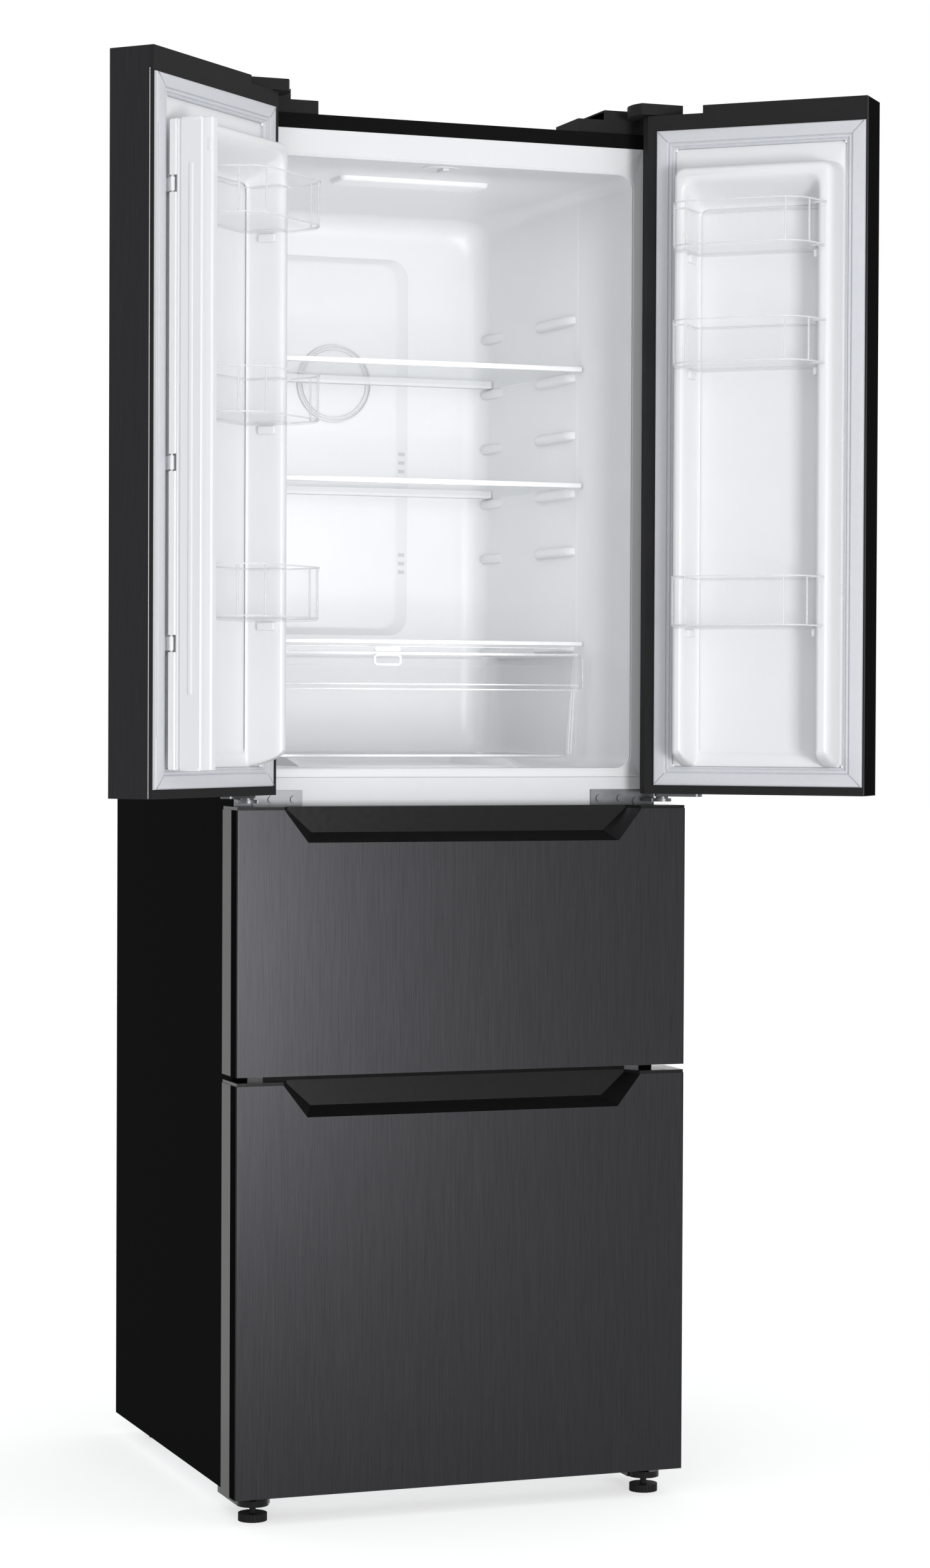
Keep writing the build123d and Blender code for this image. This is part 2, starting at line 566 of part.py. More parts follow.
# Fan behind the round opening
fan_front = back_cover_front + BACK_COVER_WALL + FAN_SETBACK
blade_middle = FAN_RADIUS - 2 - BLADE_LENGTH / 2
with BuildPart() as fan_rotor:
    with Locations(Location((0, fan_front, fan_z), (90, 0, 0))):
        Cylinder(HUB_RADIUS, HUB_DEPTH, align=SINKING)
    for blade in range(BLADE_COUNT):
        angle = radians(360 / BLADE_COUNT * blade)
        turn = Plane(origin=(0, fan_front + HUB_DEPTH / 2, fan_z), x_dir=(cos(angle), 0, sin(angle)),
                     z_dir=(0, -1, 0))
        with BuildSketch(turn.offset(-BLADE_HALF_DEPTH)) as root:
            with Locations((blade_middle, -BLADE_TWIST)):
                Rectangle(BLADE_LENGTH, BLADE_THICK)
        with BuildSketch(turn.offset(BLADE_HALF_DEPTH)) as tip:
            with Locations((blade_middle, BLADE_TWIST)):
                Rectangle(BLADE_LENGTH, BLADE_THICK)
        loft(sections=[root.sketch, tip.sketch], ruled=True)
    with Locations(Location((0, fan_front, fan_z), (90, 0, 0))):
        Cylinder(SHAFT_RADIUS + PIN_CLEARANCE, HUB_DEPTH + 1, align=SINKING, mode=Mode.SUBTRACT)
save(fan_rotor.part, "fan_rotor")

# Raised air duct panel on the fridge's back wall, with its air slots in both slanted sides
DUCT_HALF = 112.0
DUCT_FACE_HALF = 90.0
DUCT_ABOVE_FLOOR = 177.0
DUCT_BELOW_CEILING = 59.0
DUCT_DEPTH = 10.0
DUCT_WALL = 2.5
DUCT_SLOTS = (85.0, 225.0, 455.0)
DUCT_SLOT_HEIGHT = 6.0
DUCT_SLOT_ROWS = 3
DUCT_SLOT_EDGE = 2.5
RING_ABOVE_FLOOR = 523.0
RING_OUTER = 54.0
RING_INNER = 44.0
RING_DEPTH = 5.0
duct_back = compartment_back - REST_GAP
duct_bottom = fridge_floor + DUCT_ABOVE_FLOOR
duct_top = ceiling - DUCT_BELOW_CEILING
ring_z = fridge_floor + RING_ABOVE_FLOOR
duct_face = duct_back - DUCT_DEPTH
with BuildPart() as fridge_air_duct:
    with BuildSketch(Plane.XY.offset(duct_bottom)):
        with BuildLine():
            Polyline((-DUCT_HALF, duct_back), (-DUCT_FACE_HALF, duct_face), (DUCT_FACE_HALF, duct_face),
                     (DUCT_HALF, duct_back), close=True)
        make_face()
    extrude(amount=duct_top - duct_bottom)
    block(-DUCT_FACE_HALF + DUCT_WALL, DUCT_FACE_HALF - DUCT_WALL, duct_face + DUCT_WALL, duct_back,
          duct_bottom + DUCT_WALL, duct_top - DUCT_WALL, Mode.SUBTRACT)
    for height in DUCT_SLOTS:
        for row in range(DUCT_SLOT_ROWS):
            low = duct_bottom + height + 2 * DUCT_SLOT_HEIGHT * row
            for side in (-1, 1):
                block(side * (DUCT_FACE_HALF - 2 * DUCT_WALL), side * DUCT_HALF, duct_face + DUCT_SLOT_EDGE,
                      duct_back - DUCT_SLOT_EDGE, low, low + DUCT_SLOT_HEIGHT, Mode.SUBTRACT)
save(fridge_air_duct.part, "fridge_air_duct")

# Clear covers: the round one on the duct and the light cover on the ceiling
LIGHT_HALF = 102.0
LIGHT_FRONT = 130.0
LIGHT_BACK = 183.0
LIGHT_DEPTH = 6.0
LIGHT_CORNER = 6.0
LIGHT_DRAFT = 20.0
RING_FACE = 2.0
GUIDE_LENGTH = 52.0
GUIDE_DEPTH = 34.0
GUIDE_Y = 31.0
GUIDE_THICK = 1.5
NUB_DEPTH = 4.4
NUB_LEFT = -3.5
NUB_RIGHT = 5.5
NUB_HALF_LENGTH = 12.0
with BuildPart() as clear_covers:
    with Locations(Location((0, duct_face, ring_z), (90, 0, 0))):
        Cylinder(RING_OUTER, RING_DEPTH, align=RISING)
        Cylinder(RING_INNER, RING_DEPTH - RING_FACE, align=RISING, mode=Mode.SUBTRACT)
    chamfer(clear_covers.edges().group_by(Axis.Y)[0].sort_by(SortBy.LENGTH)[-1], length=RING_FACE)
    with BuildSketch(Plane.XY.offset(ceiling)):
        with Locations((0, (LIGHT_FRONT + LIGHT_BACK) / 2)):
            RectangleRounded(2 * LIGHT_HALF, LIGHT_BACK - LIGHT_FRONT, LIGHT_CORNER)
    extrude(amount=-LIGHT_DEPTH, taper=LIGHT_DRAFT)
save(clear_covers.part, "clear_covers")

# Flap guide on the ceiling
with BuildPart() as flap_guide:
    with BuildSketch(Plane.XY.offset(ceiling)):
        with Locations((0, GUIDE_Y)):
            Ellipse(GUIDE_LENGTH / 2, GUIDE_DEPTH / 2)
    extrude(amount=-GUIDE_THICK)
    block(NUB_LEFT, NUB_RIGHT, GUIDE_Y - NUB_HALF_LENGTH, GUIDE_Y + NUB_HALF_LENGTH, ceiling - NUB_DEPTH,
          ceiling - GUIDE_THICK / 2)
save(flap_guide.part, "flap_guide")

# Shelves: tapered glass with a front and a rear trim, sliding on the ledges


def shelf_outline(y0, y1, gap):
    """The shelf's plan between two depths, a little narrower than the compartment."""
    with BuildLine() as outline:
        Polyline((-wall_at(y0) + gap, y0), (wall_at(y0) - gap, y0), (wall_at(y1) - gap, y1),
                 (-wall_at(y1) + gap, y1), close=True)
    make_face(outline.edges())


shelves = (("upper_shelf", UPPER_SHELF_LEDGE), ("lower_shelf", LOWER_SHELF_LEDGE))
glass_gap = SHELF_SIDE_GAP + 1.0
for shelf_name, ledge in shelves:
    underside = ledge_tops[ledge] + REST_GAP
    with BuildPart() as glass:
        with BuildSketch(Plane.XY.offset(underside)):
            shelf_outline(SHELF_FRONT + TRIM_GRIP, shelf_back - TRIM_GRIP, glass_gap)
        extrude(amount=GLASS)
    save(glass.part, f"{shelf_name}_glass")
    with BuildPart() as trims:
        for y0, y1, drop, rise in ((SHELF_FRONT, SHELF_FRONT + TRIM_DEPTH, TRIM_DROP, TRIM_RISE),
                                   (shelf_back - TRIM_DEPTH, shelf_back, 0, TRIM_HEIGHT)):
            with BuildSketch(Plane.XY.offset(underside - drop)):
                shelf_outline(y0, y1, SHELF_SIDE_GAP)
            extrude(amount=GLASS + drop + rise)
        with BuildSketch(Plane.XY.offset(underside)):
            shelf_outline(SHELF_FRONT + TRIM_GRIP, shelf_back - TRIM_GRIP, glass_gap)
        extrude(amount=GLASS, mode=Mode.SUBTRACT)
    save(trims.part, f"{shelf_name}_trims")

# Crisper lid: a framed glass plate that rests on the lowest ledges
with BuildPart() as crisper_lid:
    with BuildSketch(Plane.XY.offset(lid_top - GLASS)):
        shelf_outline(SHELF_FRONT - LID_OVERHANG, shelf_back, SHELF_SIDE_GAP)
    extrude(amount=GLASS)
    lip_half = wall_at(SHELF_FRONT) - LID_LIP_INSET
    lip_front = SHELF_FRONT - LID_OVERHANG
    block(-lip_half, lip_half, lip_front, lip_front + LID_LIP_DEPTH, lid_top - GLASS - LID_LIP,
          lid_top - GLASS)
save(crisper_lid.part, "crisper_lid")


def tray(top_half, base_half_width, y0, y1, z0, z1, wall, draft=6.0, radius=10.0):
    """An open tray: outer block, hollowed from above, wider at its rim."""
    middle = (y0 + y1) / 2
    length = y1 - y0
    with BuildSketch(Plane.XY.offset(z0)) as low:
        with Locations((0, middle)):
            RectangleRounded(2 * base_half_width, length - 2 * draft, radius)
    with BuildSketch(Plane.XY.offset(z1)) as high:
        with Locations((0, middle)):
            RectangleRounded(2 * top_half, length, radius)
    loft(sections=[low.sketch, high.sketch], ruled=True)
    with BuildSketch(Plane.XY.offset(z0 + wall)) as low_in:
        with Locations((0, middle)):
            RectangleRounded(2 * (base_half_width - wall), length - 2 * draft - 2 * wall, radius - wall)
    with BuildSketch(Plane.XY.offset(z1 + 1)) as high_in:
        with Locations((0, middle)):
            RectangleRounded(2 * (top_half - wall), length - 2 * wall, radius - wall)
    loft(sections=[low_in.sketch, high_in.sketch], ruled=True, mode=Mode.SUBTRACT)


# Crisper drawer with its finger channel along the front
with BuildPart() as crisper_drawer:
    crisper_bottom = fridge_floor + FLOOR_RIB + REST_GAP
    tray(crisper_body_half, crisper_base_half, CRISPER_FRONT + CRISPER_FACE / 2, crisper_back,
         crisper_bottom, crisper_top, BIN_WALL)
    block(-crisper_half, crisper_half, CRISPER_FRONT, CRISPER_FRONT + CRISPER_FACE,
          crisper_top - CRISPER_FACE_HEIGHT, crisper_top)
    block(-crisper_half + GRIP_MARGIN, crisper_half - GRIP_MARGIN, CRISPER_FRONT - 1,
          CRISPER_FRONT + GRIP_DEPTH, crisper_top - GRIP_LOW, crisper_top - GRIP_HIGH, Mode.SUBTRACT)
save(crisper_drawer.part, "crisper_drawer")

# Hinge brackets between the compartments, their screws and pins
BRACKET_THICK = 2.5
BRACKET_LENGTH = 88.0
BRACKET_INSET = 0.5
CENTRE_ARM_WIDTH = 19.5
BRACKET_BELOW_DOOR = 15.5
BRACKET_ABOVE_DOOR = 4.5
BOSS_RADIUS = 12.0
CENTRE_PIN_REACH = 18.0
TOP_PIN_LIFT = 0.5
TOP_ARM_LIFT = 16.0
TOP_ARM_INSET = 30.0
TOP_ARM_EDGE = 9.5
TOP_BASE_INSET = 82.0
TOP_BASE_FRONT = 6.0
TOP_BASE_BACK = 74.0
WASHER = 2.2
WASHER_RADIUS = 8.0
bracket_out = cabinet_half - BRACKET_INSET
bracket_in = bracket_out - BRACKET_LENGTH
arm_in = bracket_out - CENTRE_ARM_WIDTH
bracket_bottom = DOOR_BOTTOM - BRACKET_BELOW_DOOR
bracket_top = DOOR_BOTTOM + BRACKET_ABOVE_DOOR
centre_pin_top = DOOR_BOTTOM + CENTRE_PIN_REACH
top_pin_bottom = CABINET_TOP + TOP_PIN_LIFT
top_arm_bottom = CABINET_TOP + TOP_ARM_LIFT
top_arm_in = cabinet_half - TOP_ARM_INSET
top_arm_out = hinge_x + TOP_ARM_EDGE
top_base_in = cabinet_half - TOP_BASE_INSET
with BuildPart() as hinge_brackets:
    for side in (-1, 1):
        block(side * bracket_in, side * bracket_out, -BRACKET_THICK, 0, bracket_bottom, bracket_top)
        block(side * arm_in, side * bracket_out, hinge_y, 0, arm_bottom, arm_bottom + ARM_THICK)
        with Locations((side * hinge_x, hinge_y, arm_bottom)):
            Cylinder(BOSS_RADIUS, ARM_THICK, align=RISING)
            Cylinder(WASHER_RADIUS, ARM_THICK + WASHER, align=RISING)
            Cylinder(PIN_RADIUS, centre_pin_top - arm_bottom, align=RISING)
        block(side * top_base_in, side * cabinet_half, TOP_BASE_FRONT, TOP_BASE_BACK, CABINET_TOP,
              CABINET_TOP + TOP_PLATE)
        block(side * top_arm_in, side * cabinet_half, TOP_BASE_FRONT, TOP_BASE_FRONT + TOP_PLATE,
              CABINET_TOP, top_arm_bottom + TOP_PLATE)
        block(side * top_arm_in, side * top_arm_out, hinge_y, TOP_BASE_FRONT + TOP_PLATE, top_arm_bottom,
              top_arm_bottom + TOP_PLATE)
        with Locations((side * hinge_x, hinge_y, top_arm_bottom)):
            Cylinder(BOSS_RADIUS, TOP_PLATE, align=RISING)
            Cylinder(PIN_RADIUS, top_arm_bottom - top_pin_bottom, align=SINKING)
    screw_holes(True, True)
save(hinge_brackets.part, "hinge_brackets")

with BuildPart() as hinge_screws:
    for side in (-1, 1):
        for inset, drop in CENTRE_SCREWS:
            place = (side * (cabinet_half - inset), -BRACKET_THICK, DOOR_BOTTOM - drop)
            with Locations(Location(place, (90, 0, 0))):
                Cylinder(SCREW_HEAD, SCREW_HEAD_HEIGHT, align=RISING)
                Cylinder(SCREW_RADIUS, SCREW_LENGTH, align=SINKING)
        for inset, y in TOP_SCREWS:
            with Locations((side * (cabinet_half - inset), y, CABINET_TOP + TOP_PLATE)):
                Cylinder(SCREW_HEAD, SCREW_HEAD_HEIGHT, align=RISING)
                Cylinder(SCREW_RADIUS, SCREW_LENGTH, align=SINKING)
save(hinge_screws.part, "hinge_screws")

# Plastic covers over the top hinges
COVER_RISE = 29.5
COVER_LOW_RISE = 17.0
COVER_LENGTH = 108.0
COVER_STEP_INSET = 72.0
COVER_EDGE = 7.5
COVER_SETBACK = 3.0
COVER_BACK = 80.0
COVER_RADIUS = 49.0
COVER_GAP = 0.4
COVER_WALL = 2.0
COVER_START = 3.0
COVER_LIFT = 1.0
door_step_top = door_top - CAP_STEP
cover_top = CABINET_TOP + COVER_RISE
cover_low_top = CABINET_TOP + COVER_LOW_RISE
cover_in = cabinet_half - COVER_LENGTH
cover_step = cabinet_half - COVER_STEP_INSET
cover_out = front_half - COVER_EDGE
cover_front = front + COVER_SETBACK
cover_low = door_step_top + COVER_LIFT
arm_room = top_arm_bottom + TOP_PLATE + COVER_GAP
with BuildPart() as top_hinge_covers:
    for side in (-1, 1):
        with Locations((side * hinge_x, hinge_y, cover_low)):
            Cylinder(COVER_RADIUS, cover_top - cover_low, align=RISING)
    block(-front_half, front_half, hinge_y - COVER_RADIUS, cover_front, CABINET_TOP, cover_top,
          Mode.SUBTRACT)
    for side in (-1, 1):
        block(side * cover_out, side * (cover_out + COVER_RADIUS), hinge_y - COVER_RADIUS,
              hinge_y + COVER_RADIUS, CABINET_TOP, cover_top, Mode.SUBTRACT)
        block(side * cover_step, side * cover_out, COVER_START, COVER_BACK, CABINET_TOP + COVER_GAP,
              cover_top)
        block(side * cover_in, side * cover_step, COVER_START, COVER_BACK, CABINET_TOP + COVER_GAP,
              cover_low_top)
        block(side * (cover_in + COVER_WALL), side * (cover_step - COVER_WALL), COVER_START + COVER_WALL,
              COVER_BACK - COVER_WALL, CABINET_TOP, cover_low_top - COVER_WALL, Mode.SUBTRACT)
        block(side * (cover_step - 2 * COVER_WALL), side * (cabinet_half + COVER_WALL),
              COVER_START + COVER_WALL, COVER_BACK - COVER_WALL, CABINET_TOP, cover_top - COVER_WALL,
              Mode.SUBTRACT)
        block(side * (top_arm_in - 1), side * (top_arm_out + 1), hinge_y, TOP_BASE_FRONT + TOP_PLATE + 1,
              CABINET_TOP, arm_room, Mode.SUBTRACT)
        with Locations((side * hinge_x, hinge_y, CABINET_TOP)):
            Cylinder(BOSS_RADIUS + COVER_GAP, arm_room - CABINET_TOP, align=RISING, mode=Mode.SUBTRACT)
save(top_hinge_covers.part, "top_hinge_covers")

# Front foot brackets, levelling feet and rear rollers
FOOT_BRACKET_WIDTH = 42.0
FOOT_BRACKET_DROP = 8.0
NOSE_RADIUS = 20.0
STUD_TOP = 32.0
FOOT_BRACKET_BACK = 60.0
FOOT_BRACKET_WALL = 3.0
FLUTE_COUNT = 24
FLUTE_RADIUS = 0.9
foot_bracket_in = cabinet_half - FOOT_BRACKET_WIDTH
foot_bracket_z = CABINET_BOTTOM - FOOT_BRACKET_DROP
with BuildPart() as foot_brackets:
    for side in (-1, 1):
        block(side * foot_bracket_in, side * cabinet_half, FOOT_Y, FOOT_BRACKET_BACK, foot_bracket_z,
              CABINET_BOTTOM)
        with Locations((side * foot_x, FOOT_Y, foot_bracket_z)):
            Cylinder(NOSE_RADIUS, CABINET_BOTTOM - foot_bracket_z, align=RISING)
        block(side * (foot_bracket_in + FOOT_BRACKET_WALL), side * (cabinet_half - FOOT_BRACKET_WALL),
              FOOT_Y + NOSE_RADIUS, FOOT_BRACKET_BACK - FOOT_BRACKET_WALL, foot_bracket_z,
              CABINET_BOTTOM - FOOT_BRACKET_WALL, Mode.SUBTRACT)
        with Locations((side * foot_x, FOOT_Y, foot_bracket_z)):
            Cylinder(STUD_RADIUS + PIN_CLEARANCE, 2 * BEYOND, mode=Mode.SUBTRACT)
save(foot_brackets.part, "foot_brackets")

for side, name in ((-1, "left"), (1, "right")):
    with BuildPart() as foot:
        with BuildSketch():
            with Locations((side * foot_x, FOOT_Y)):
                Circle(FOOT_RADIUS)
                with PolarLocations(FOOT_RADIUS, FLUTE_COUNT):
                    Circle(FLUTE_RADIUS, mode=Mode.SUBTRACT)
        extrude(amount=FOOT_HEIGHT)
        with Locations((side * foot_x, FOOT_Y, 0)):
            Cylinder(STUD_RADIUS, STUD_TOP, align=RISING)
    save(foot.part, f"front_foot_{name}")
    with BuildPart() as roller:
        with Locations(Location((side * roller_x, roller_y, ROLLER_RADIUS), (0, 90, 0))):
            Cylinder(ROLLER_RADIUS, ROLLER_WIDTH)
            Cylinder(AXLE_RADIUS + PIN_CLEARANCE, ROLLER_WIDTH + 2, mode=Mode.SUBTRACT)
    save(roller.part, f"rear_roller_{name}")

# Fixed rail channels on the freezer walls
TONGUE_BOTTOM = 8.0
TONGUE_HEIGHT = 9.0
TONGUE_REACH = 5.0
ARM_WIDTH = 11.5
CHANNEL_FRONT = 8.0
CHANNEL_STOP = 4.0
arm_out = freezer_half - CHANNEL - RAIL_GAP
drawer_arm_in = arm_out - ARM_WIDTH
with BuildPart() as rail_channels:
    for bottom, length in ((upper_rail, RAIL_LENGTH), (lower_rail, lower_rail_length)):
        for side in (-1, 1):
            block(side * (freezer_half - CHANNEL), side * freezer_half, CHANNEL_FRONT, length, bottom,
                  bottom + ARM_HEIGHT)
            block(side * (freezer_half - CHANNEL),
                  side * (freezer_half - CHANNEL + TONGUE_REACH + RAIL_GAP), CHANNEL_FRONT,
                  length - CHANNEL_STOP, bottom + TONGUE_BOTTOM - RAIL_GAP,
                  bottom + TONGUE_BOTTOM + TONGUE_HEIGHT + RAIL_GAP, Mode.SUBTRACT)
save(rail_channels.part, "rail_channels")

# Freezer drawers: steel skin, black frame with the recessed handle, core, panel, seal, arms and basket
SKIN = 0.8
DRAWER_TRIM = 4.0
HANDLE_INSET = 60.5
HANDLE_SHOULDER = 31.0
HANDLE_HEIGHT = 40.0
HANDLE_DEPTH = 26.0
HANDLE_SLOPE = 12.0
HANDLE_WALL = 2.5
DRAWER_WALL = 3.0
DRAWER_SEAL_IN = 17.0
PANEL_THICK = 2.0
PLUG_INSET = 27.0
PLUG_REACH = 2.0
PLUG_MARGIN = 30.0
BASKET_SIDE_GAP = 28.0
BASKET_FRONT = 5.0
BASKET_NARROWING = 10.0
RIM_THICK = 3.0
RIM_RISE = 6.0
RIM_INSET = 16.0
BASKET_DRAFT = 12.0
BASKET_CORNER = 14.0
UPPER_BASKET_LIFT = 8.0
UPPER_BASKET_BACK = 370.0
LOWER_BASKET_LIFT = 13.0
LOWER_BASKET_GAP = 15.0
DRAWER_EDGE_RADIUS = 2.0
TRIM_SIDE = 1.0
SEAT_GAP = 0.5
PLUG_DRAFT = 4.0
PLUG_CORNER = 12.0
ARM_GROOVE_FRONT = 20.0
ARM_GROOVE = 3.0
handle_top_half = front_half - HANDLE_INSET
handle_bottom_half = handle_top_half - HANDLE_SHOULDER
plug_half = freezer_half - PLUG_INSET
basket_half = freezer_half - BASKET_SIDE_GAP
basket_base_half = basket_half - BASKET_NARROWING


def handle_recess(top, grow, mode):
    """The recess for the fingers: a trapezoid on the front, smaller at its back, open at the top."""
    ends = []
    for depth, slope in ((0, 0), (HANDLE_DEPTH + grow, HANDLE_SLOPE)):
        high = handle_top_half - slope + grow
        low = handle_bottom_half - slope + grow
        foot = top - HANDLE_HEIGHT + slope - grow
        with BuildSketch(Plane.XZ.offset(-front - depth)) as end:
            with BuildLine():
                Polyline((-high, top + BEYOND / 2), (-high, top), (-low, foot), (low, foot), (high, top),
                         (high, top + BEYOND / 2), close=True)
            make_face()
        ends.append(end.sketch)
    loft(sections=ends, ruled=True, mode=mode)


drawers = (("upper_drawer", UPPER_DRAWER_BOTTOM, upper_drawer_top, upper_rail, RAIL_LENGTH,
            crossbar_top + UPPER_BASKET_LIFT, UPPER_BASKET_BACK),
           ("lower_drawer", LOWER_DRAWER_BOTTOM, lower_drawer_top, lower_rail, lower_rail_length,
            FREEZER_FLOOR + LOWER_BASKET_LIFT, step_depth - LOWER_BASKET_GAP))
for name, bottom, top, rail, arm_length, basket_bottom, basket_back in drawers:
    wrap_back = front + DRAWER_WRAP
    hollow_half = front_half - DRAWER_WALL
    core_back = seat - PANEL_THICK
    with BuildPart() as skin:
        block(-front_half, front_half, front, wrap_back, bottom, top)
        fillet(skin.edges().filter_by(Axis.Z).group_by(Axis.Y)[0], radius=DRAWER_EDGE_RADIUS)
        block(-front_half + SKIN, front_half - SKIN, front + SKIN, wrap_back, bottom, top, Mode.SUBTRACT)
        handle_recess(top, 0, Mode.SUBTRACT)
    save(skin.part, f"{name}_skin")
    with BuildPart() as frame:
        block(-front_half + SKIN, front_half - SKIN, front + SKIN, wrap_back, bottom, top)
        block(-front_half, front_half, wrap_back, lip, bottom, top)
        block(-front_half + TRIM_SIDE, front_half - TRIM_SIDE, front + TRIM_SIDE, lip, top,
              top + DRAWER_TRIM)
        block(-hollow_half, hollow_half, front + SKIN, core_back, bottom + DRAWER_WALL, top - DRAWER_WALL,
              Mode.SUBTRACT)
        handle_recess(top - DRAWER_TRIM / 4, HANDLE_WALL, Mode.ADD)
        block(-front_half, front_half, front - 1, front + SKIN, bottom, top + BEYOND, Mode.SUBTRACT)
        block(-front_half, front_half, front - 1, lip + BEYOND, top + DRAWER_TRIM, top + BEYOND,
              Mode.SUBTRACT)
        handle_recess(top, 0, Mode.SUBTRACT)
        seat_edge = DRAWER_SEAL_IN - SEAT_GAP
        block(-front_half + seat_edge, front_half - seat_edge, core_back, lip, bottom + seat_edge,
              top - seat_edge, Mode.SUBTRACT)
    save(frame.part, f"{name}_frame")
    with BuildPart() as core:
        block(-hollow_half, hollow_half, front + SKIN, core_back, bottom + DRAWER_WALL, top - DRAWER_WALL)
        handle_recess(top - DRAWER_TRIM / 4, HANDLE_WALL + REST_GAP, Mode.SUBTRACT)
    save(core.part, f"{name}_core")
    with BuildPart() as panel:
        block(-front_half + DRAWER_SEAL_IN, front_half - DRAWER_SEAL_IN, core_back, seat,
              bottom + DRAWER_SEAL_IN, top - DRAWER_SEAL_IN)
        plug_edge = DRAWER_SEAL_IN + PLUG_MARGIN
        for inset, end, mode in ((0, PLUG_REACH, Mode.ADD),
                                 (PANEL_THICK, PLUG_REACH - PANEL_THICK, Mode.SUBTRACT)):
            half = plug_half - inset
            low = bottom + plug_edge + inset
            high = top - plug_edge - inset
            frustum((core_back, -half, half, low, high),
                    (end, -half + PLUG_DRAFT, half - PLUG_DRAFT, low + PLUG_DRAFT, high - PLUG_DRAFT),
                    PLUG_CORNER - inset, mode)
    save(panel.part, f"{name}_panel")
    with BuildPart() as seal:
        ring(-front_half + DRAWER_SEAL_IN, front_half - DRAWER_SEAL_IN, bottom + DRAWER_SEAL_IN,
             top - DRAWER_SEAL_IN, SEAL_WIDTH, seat, seal_back)
    save(seal.part, f"{name}_seal")
    with BuildPart() as arms:
        for side in (-1, 1):
            block(side * drawer_arm_in, side * arm_out, seat, arm_length, rail, rail + ARM_HEIGHT)
            block(side * arm_out, side * (arm_out + RAIL_GAP + TONGUE_REACH), CHANNEL_FRONT + CHANNEL_STOP,
                  arm_length - 1.5 * CHANNEL_STOP, rail + TONGUE_BOTTOM,
                  rail + TONGUE_BOTTOM + TONGUE_HEIGHT)
            block(side * (drawer_arm_in - ARM_GROOVE), side * (drawer_arm_in + 2 * ARM_GROOVE),
                  ARM_GROOVE_FRONT, arm_length, rail + ARM_GROOVE, rail + ARM_HEIGHT - ARM_GROOVE,
                  Mode.SUBTRACT)
    save(arms.part, f"{name}_arms")
    rim = rail + ARM_HEIGHT + REST_GAP
    with BuildPart() as basket:
        tray(basket_half, basket_base_half, BASKET_FRONT, basket_back, basket_bottom, rim + RIM_RISE,
             BASKET_WALL, BASKET_DRAFT, BASKET_CORNER)
        for side in (-1, 1):
            block(side * (basket_half - BASKET_WALL + 1), side * (arm_out - 1), BASKET_FRONT + RIM_INSET,
                  basket_back - RIM_INSET, rim, rim + RIM_THICK)
    save(basket.part, f"{name}_basket")

# Fridge doors, each built shut and then turned open about its hinge
DYKE_WALL = 2.0
DYKE_INSET = 33.0
DYKE_FAR_WIDTH = 21.0
DYKE_ABOVE_BOTTOM = 36.5
DYKE_BELOW_TOP = 80.5
RECESS_DROP = 8.0
RECESS_SLOPE = 32.0
LEFT_DYKE_OUT = 40.0
LEFT_DYKE_IN = 62.0
RIGHT_DYKE_OUT = 33.0
RIGHT_DYKE_IN = 57.0
CAP_STEP_LEFT = 73.5
CAP_STEP_RIGHT = 81.5
LOWER_CAP_HEIGHT = 24.0
BORE_SPARE = 1.0
CAM_THICK = 4.0
CAM_LENGTH = 52.5
BIN_INSET = 1.5
BIN_BACK = -9.0
BIN_CORNER = 20.0
BIN_TAPER = 18.0
BIN_OVERHANG = 16.0
SLOT_RADIUS = 7.5
KNUCKLE_RADIUS = 3.0
FLAP_PIN_RADIUS = 1.5
FLAP_PIN_REACH = 9.0
KNUCKLE_ARM = (29.2, 37.0)
KNUCKLE_ARM_OUT = 31.0
KNUCKLE_GAP = 2.0
DOOR_EDGE_RADIUS = 3.0
DYKE_CORNER = 12.0
DYKE_END_DRAFT = 3.0
RECESS_CORNER = 20.0
BIN_LEDGE = 3.5
BIN_LEDGE_FRONT = 6.0
BIN_LEDGE_BACK = 30.0
BIN_LEDGE_HEIGHT = 10.0
CAM_HALF = 9.0
CAM_CORNER = 6.0
BRACKET_GAP = 0.6
seal_low = DOOR_BOTTOM + SEAL_ABOVE_BOTTOM
seal_high = door_top - SEAL_BELOW_TOP
seal_out = hinge_x - 0.5
seal_free = free_x + SEAL_FREE
plate_back = seat - PANEL_THICK
hinge_edge_back = lip - HINGE_CHAMFER
dyke_outer = seal_out - DYKE_INSET
dyke_inner = dyke_outer - DYKE_FAR_WIDTH
dyke_low = DOOR_BOTTOM + DYKE_ABOVE_BOTTOM
dyke_high = door_top - DYKE_BELOW_TOP
recess_bottom = dyke_low - BEYOND - RECESS_CORNER
recess_top = dyke_high - RECESS_DROP
lower_cap_top = DOOR_BOTTOM + LOWER_CAP_HEIGHT
bore_top = centre_pin_top + BORE_SPARE
bore_bottom = top_pin_bottom - 1.5 * BORE_SPARE
cam_bottom = DOOR_BOTTOM - CAM_THICK
cam_in = hinge_x - CAM_LENGTH


def door_plan(side, grow=0.0):
    """Outline of a shut door seen from above, with its chamfered back corner at the hinge."""
    with BuildLine() as outline:
        Polyline((side * (free_x + grow), front + grow), (side * (front_half - grow), front + grow),
                 (side * (front_half - grow), hinge_edge_back), (side * (front_half - HINGE_CHAMFER), lip),
                 (side * (free_x + grow), lip), close=True)
    make_face(outline.edges())


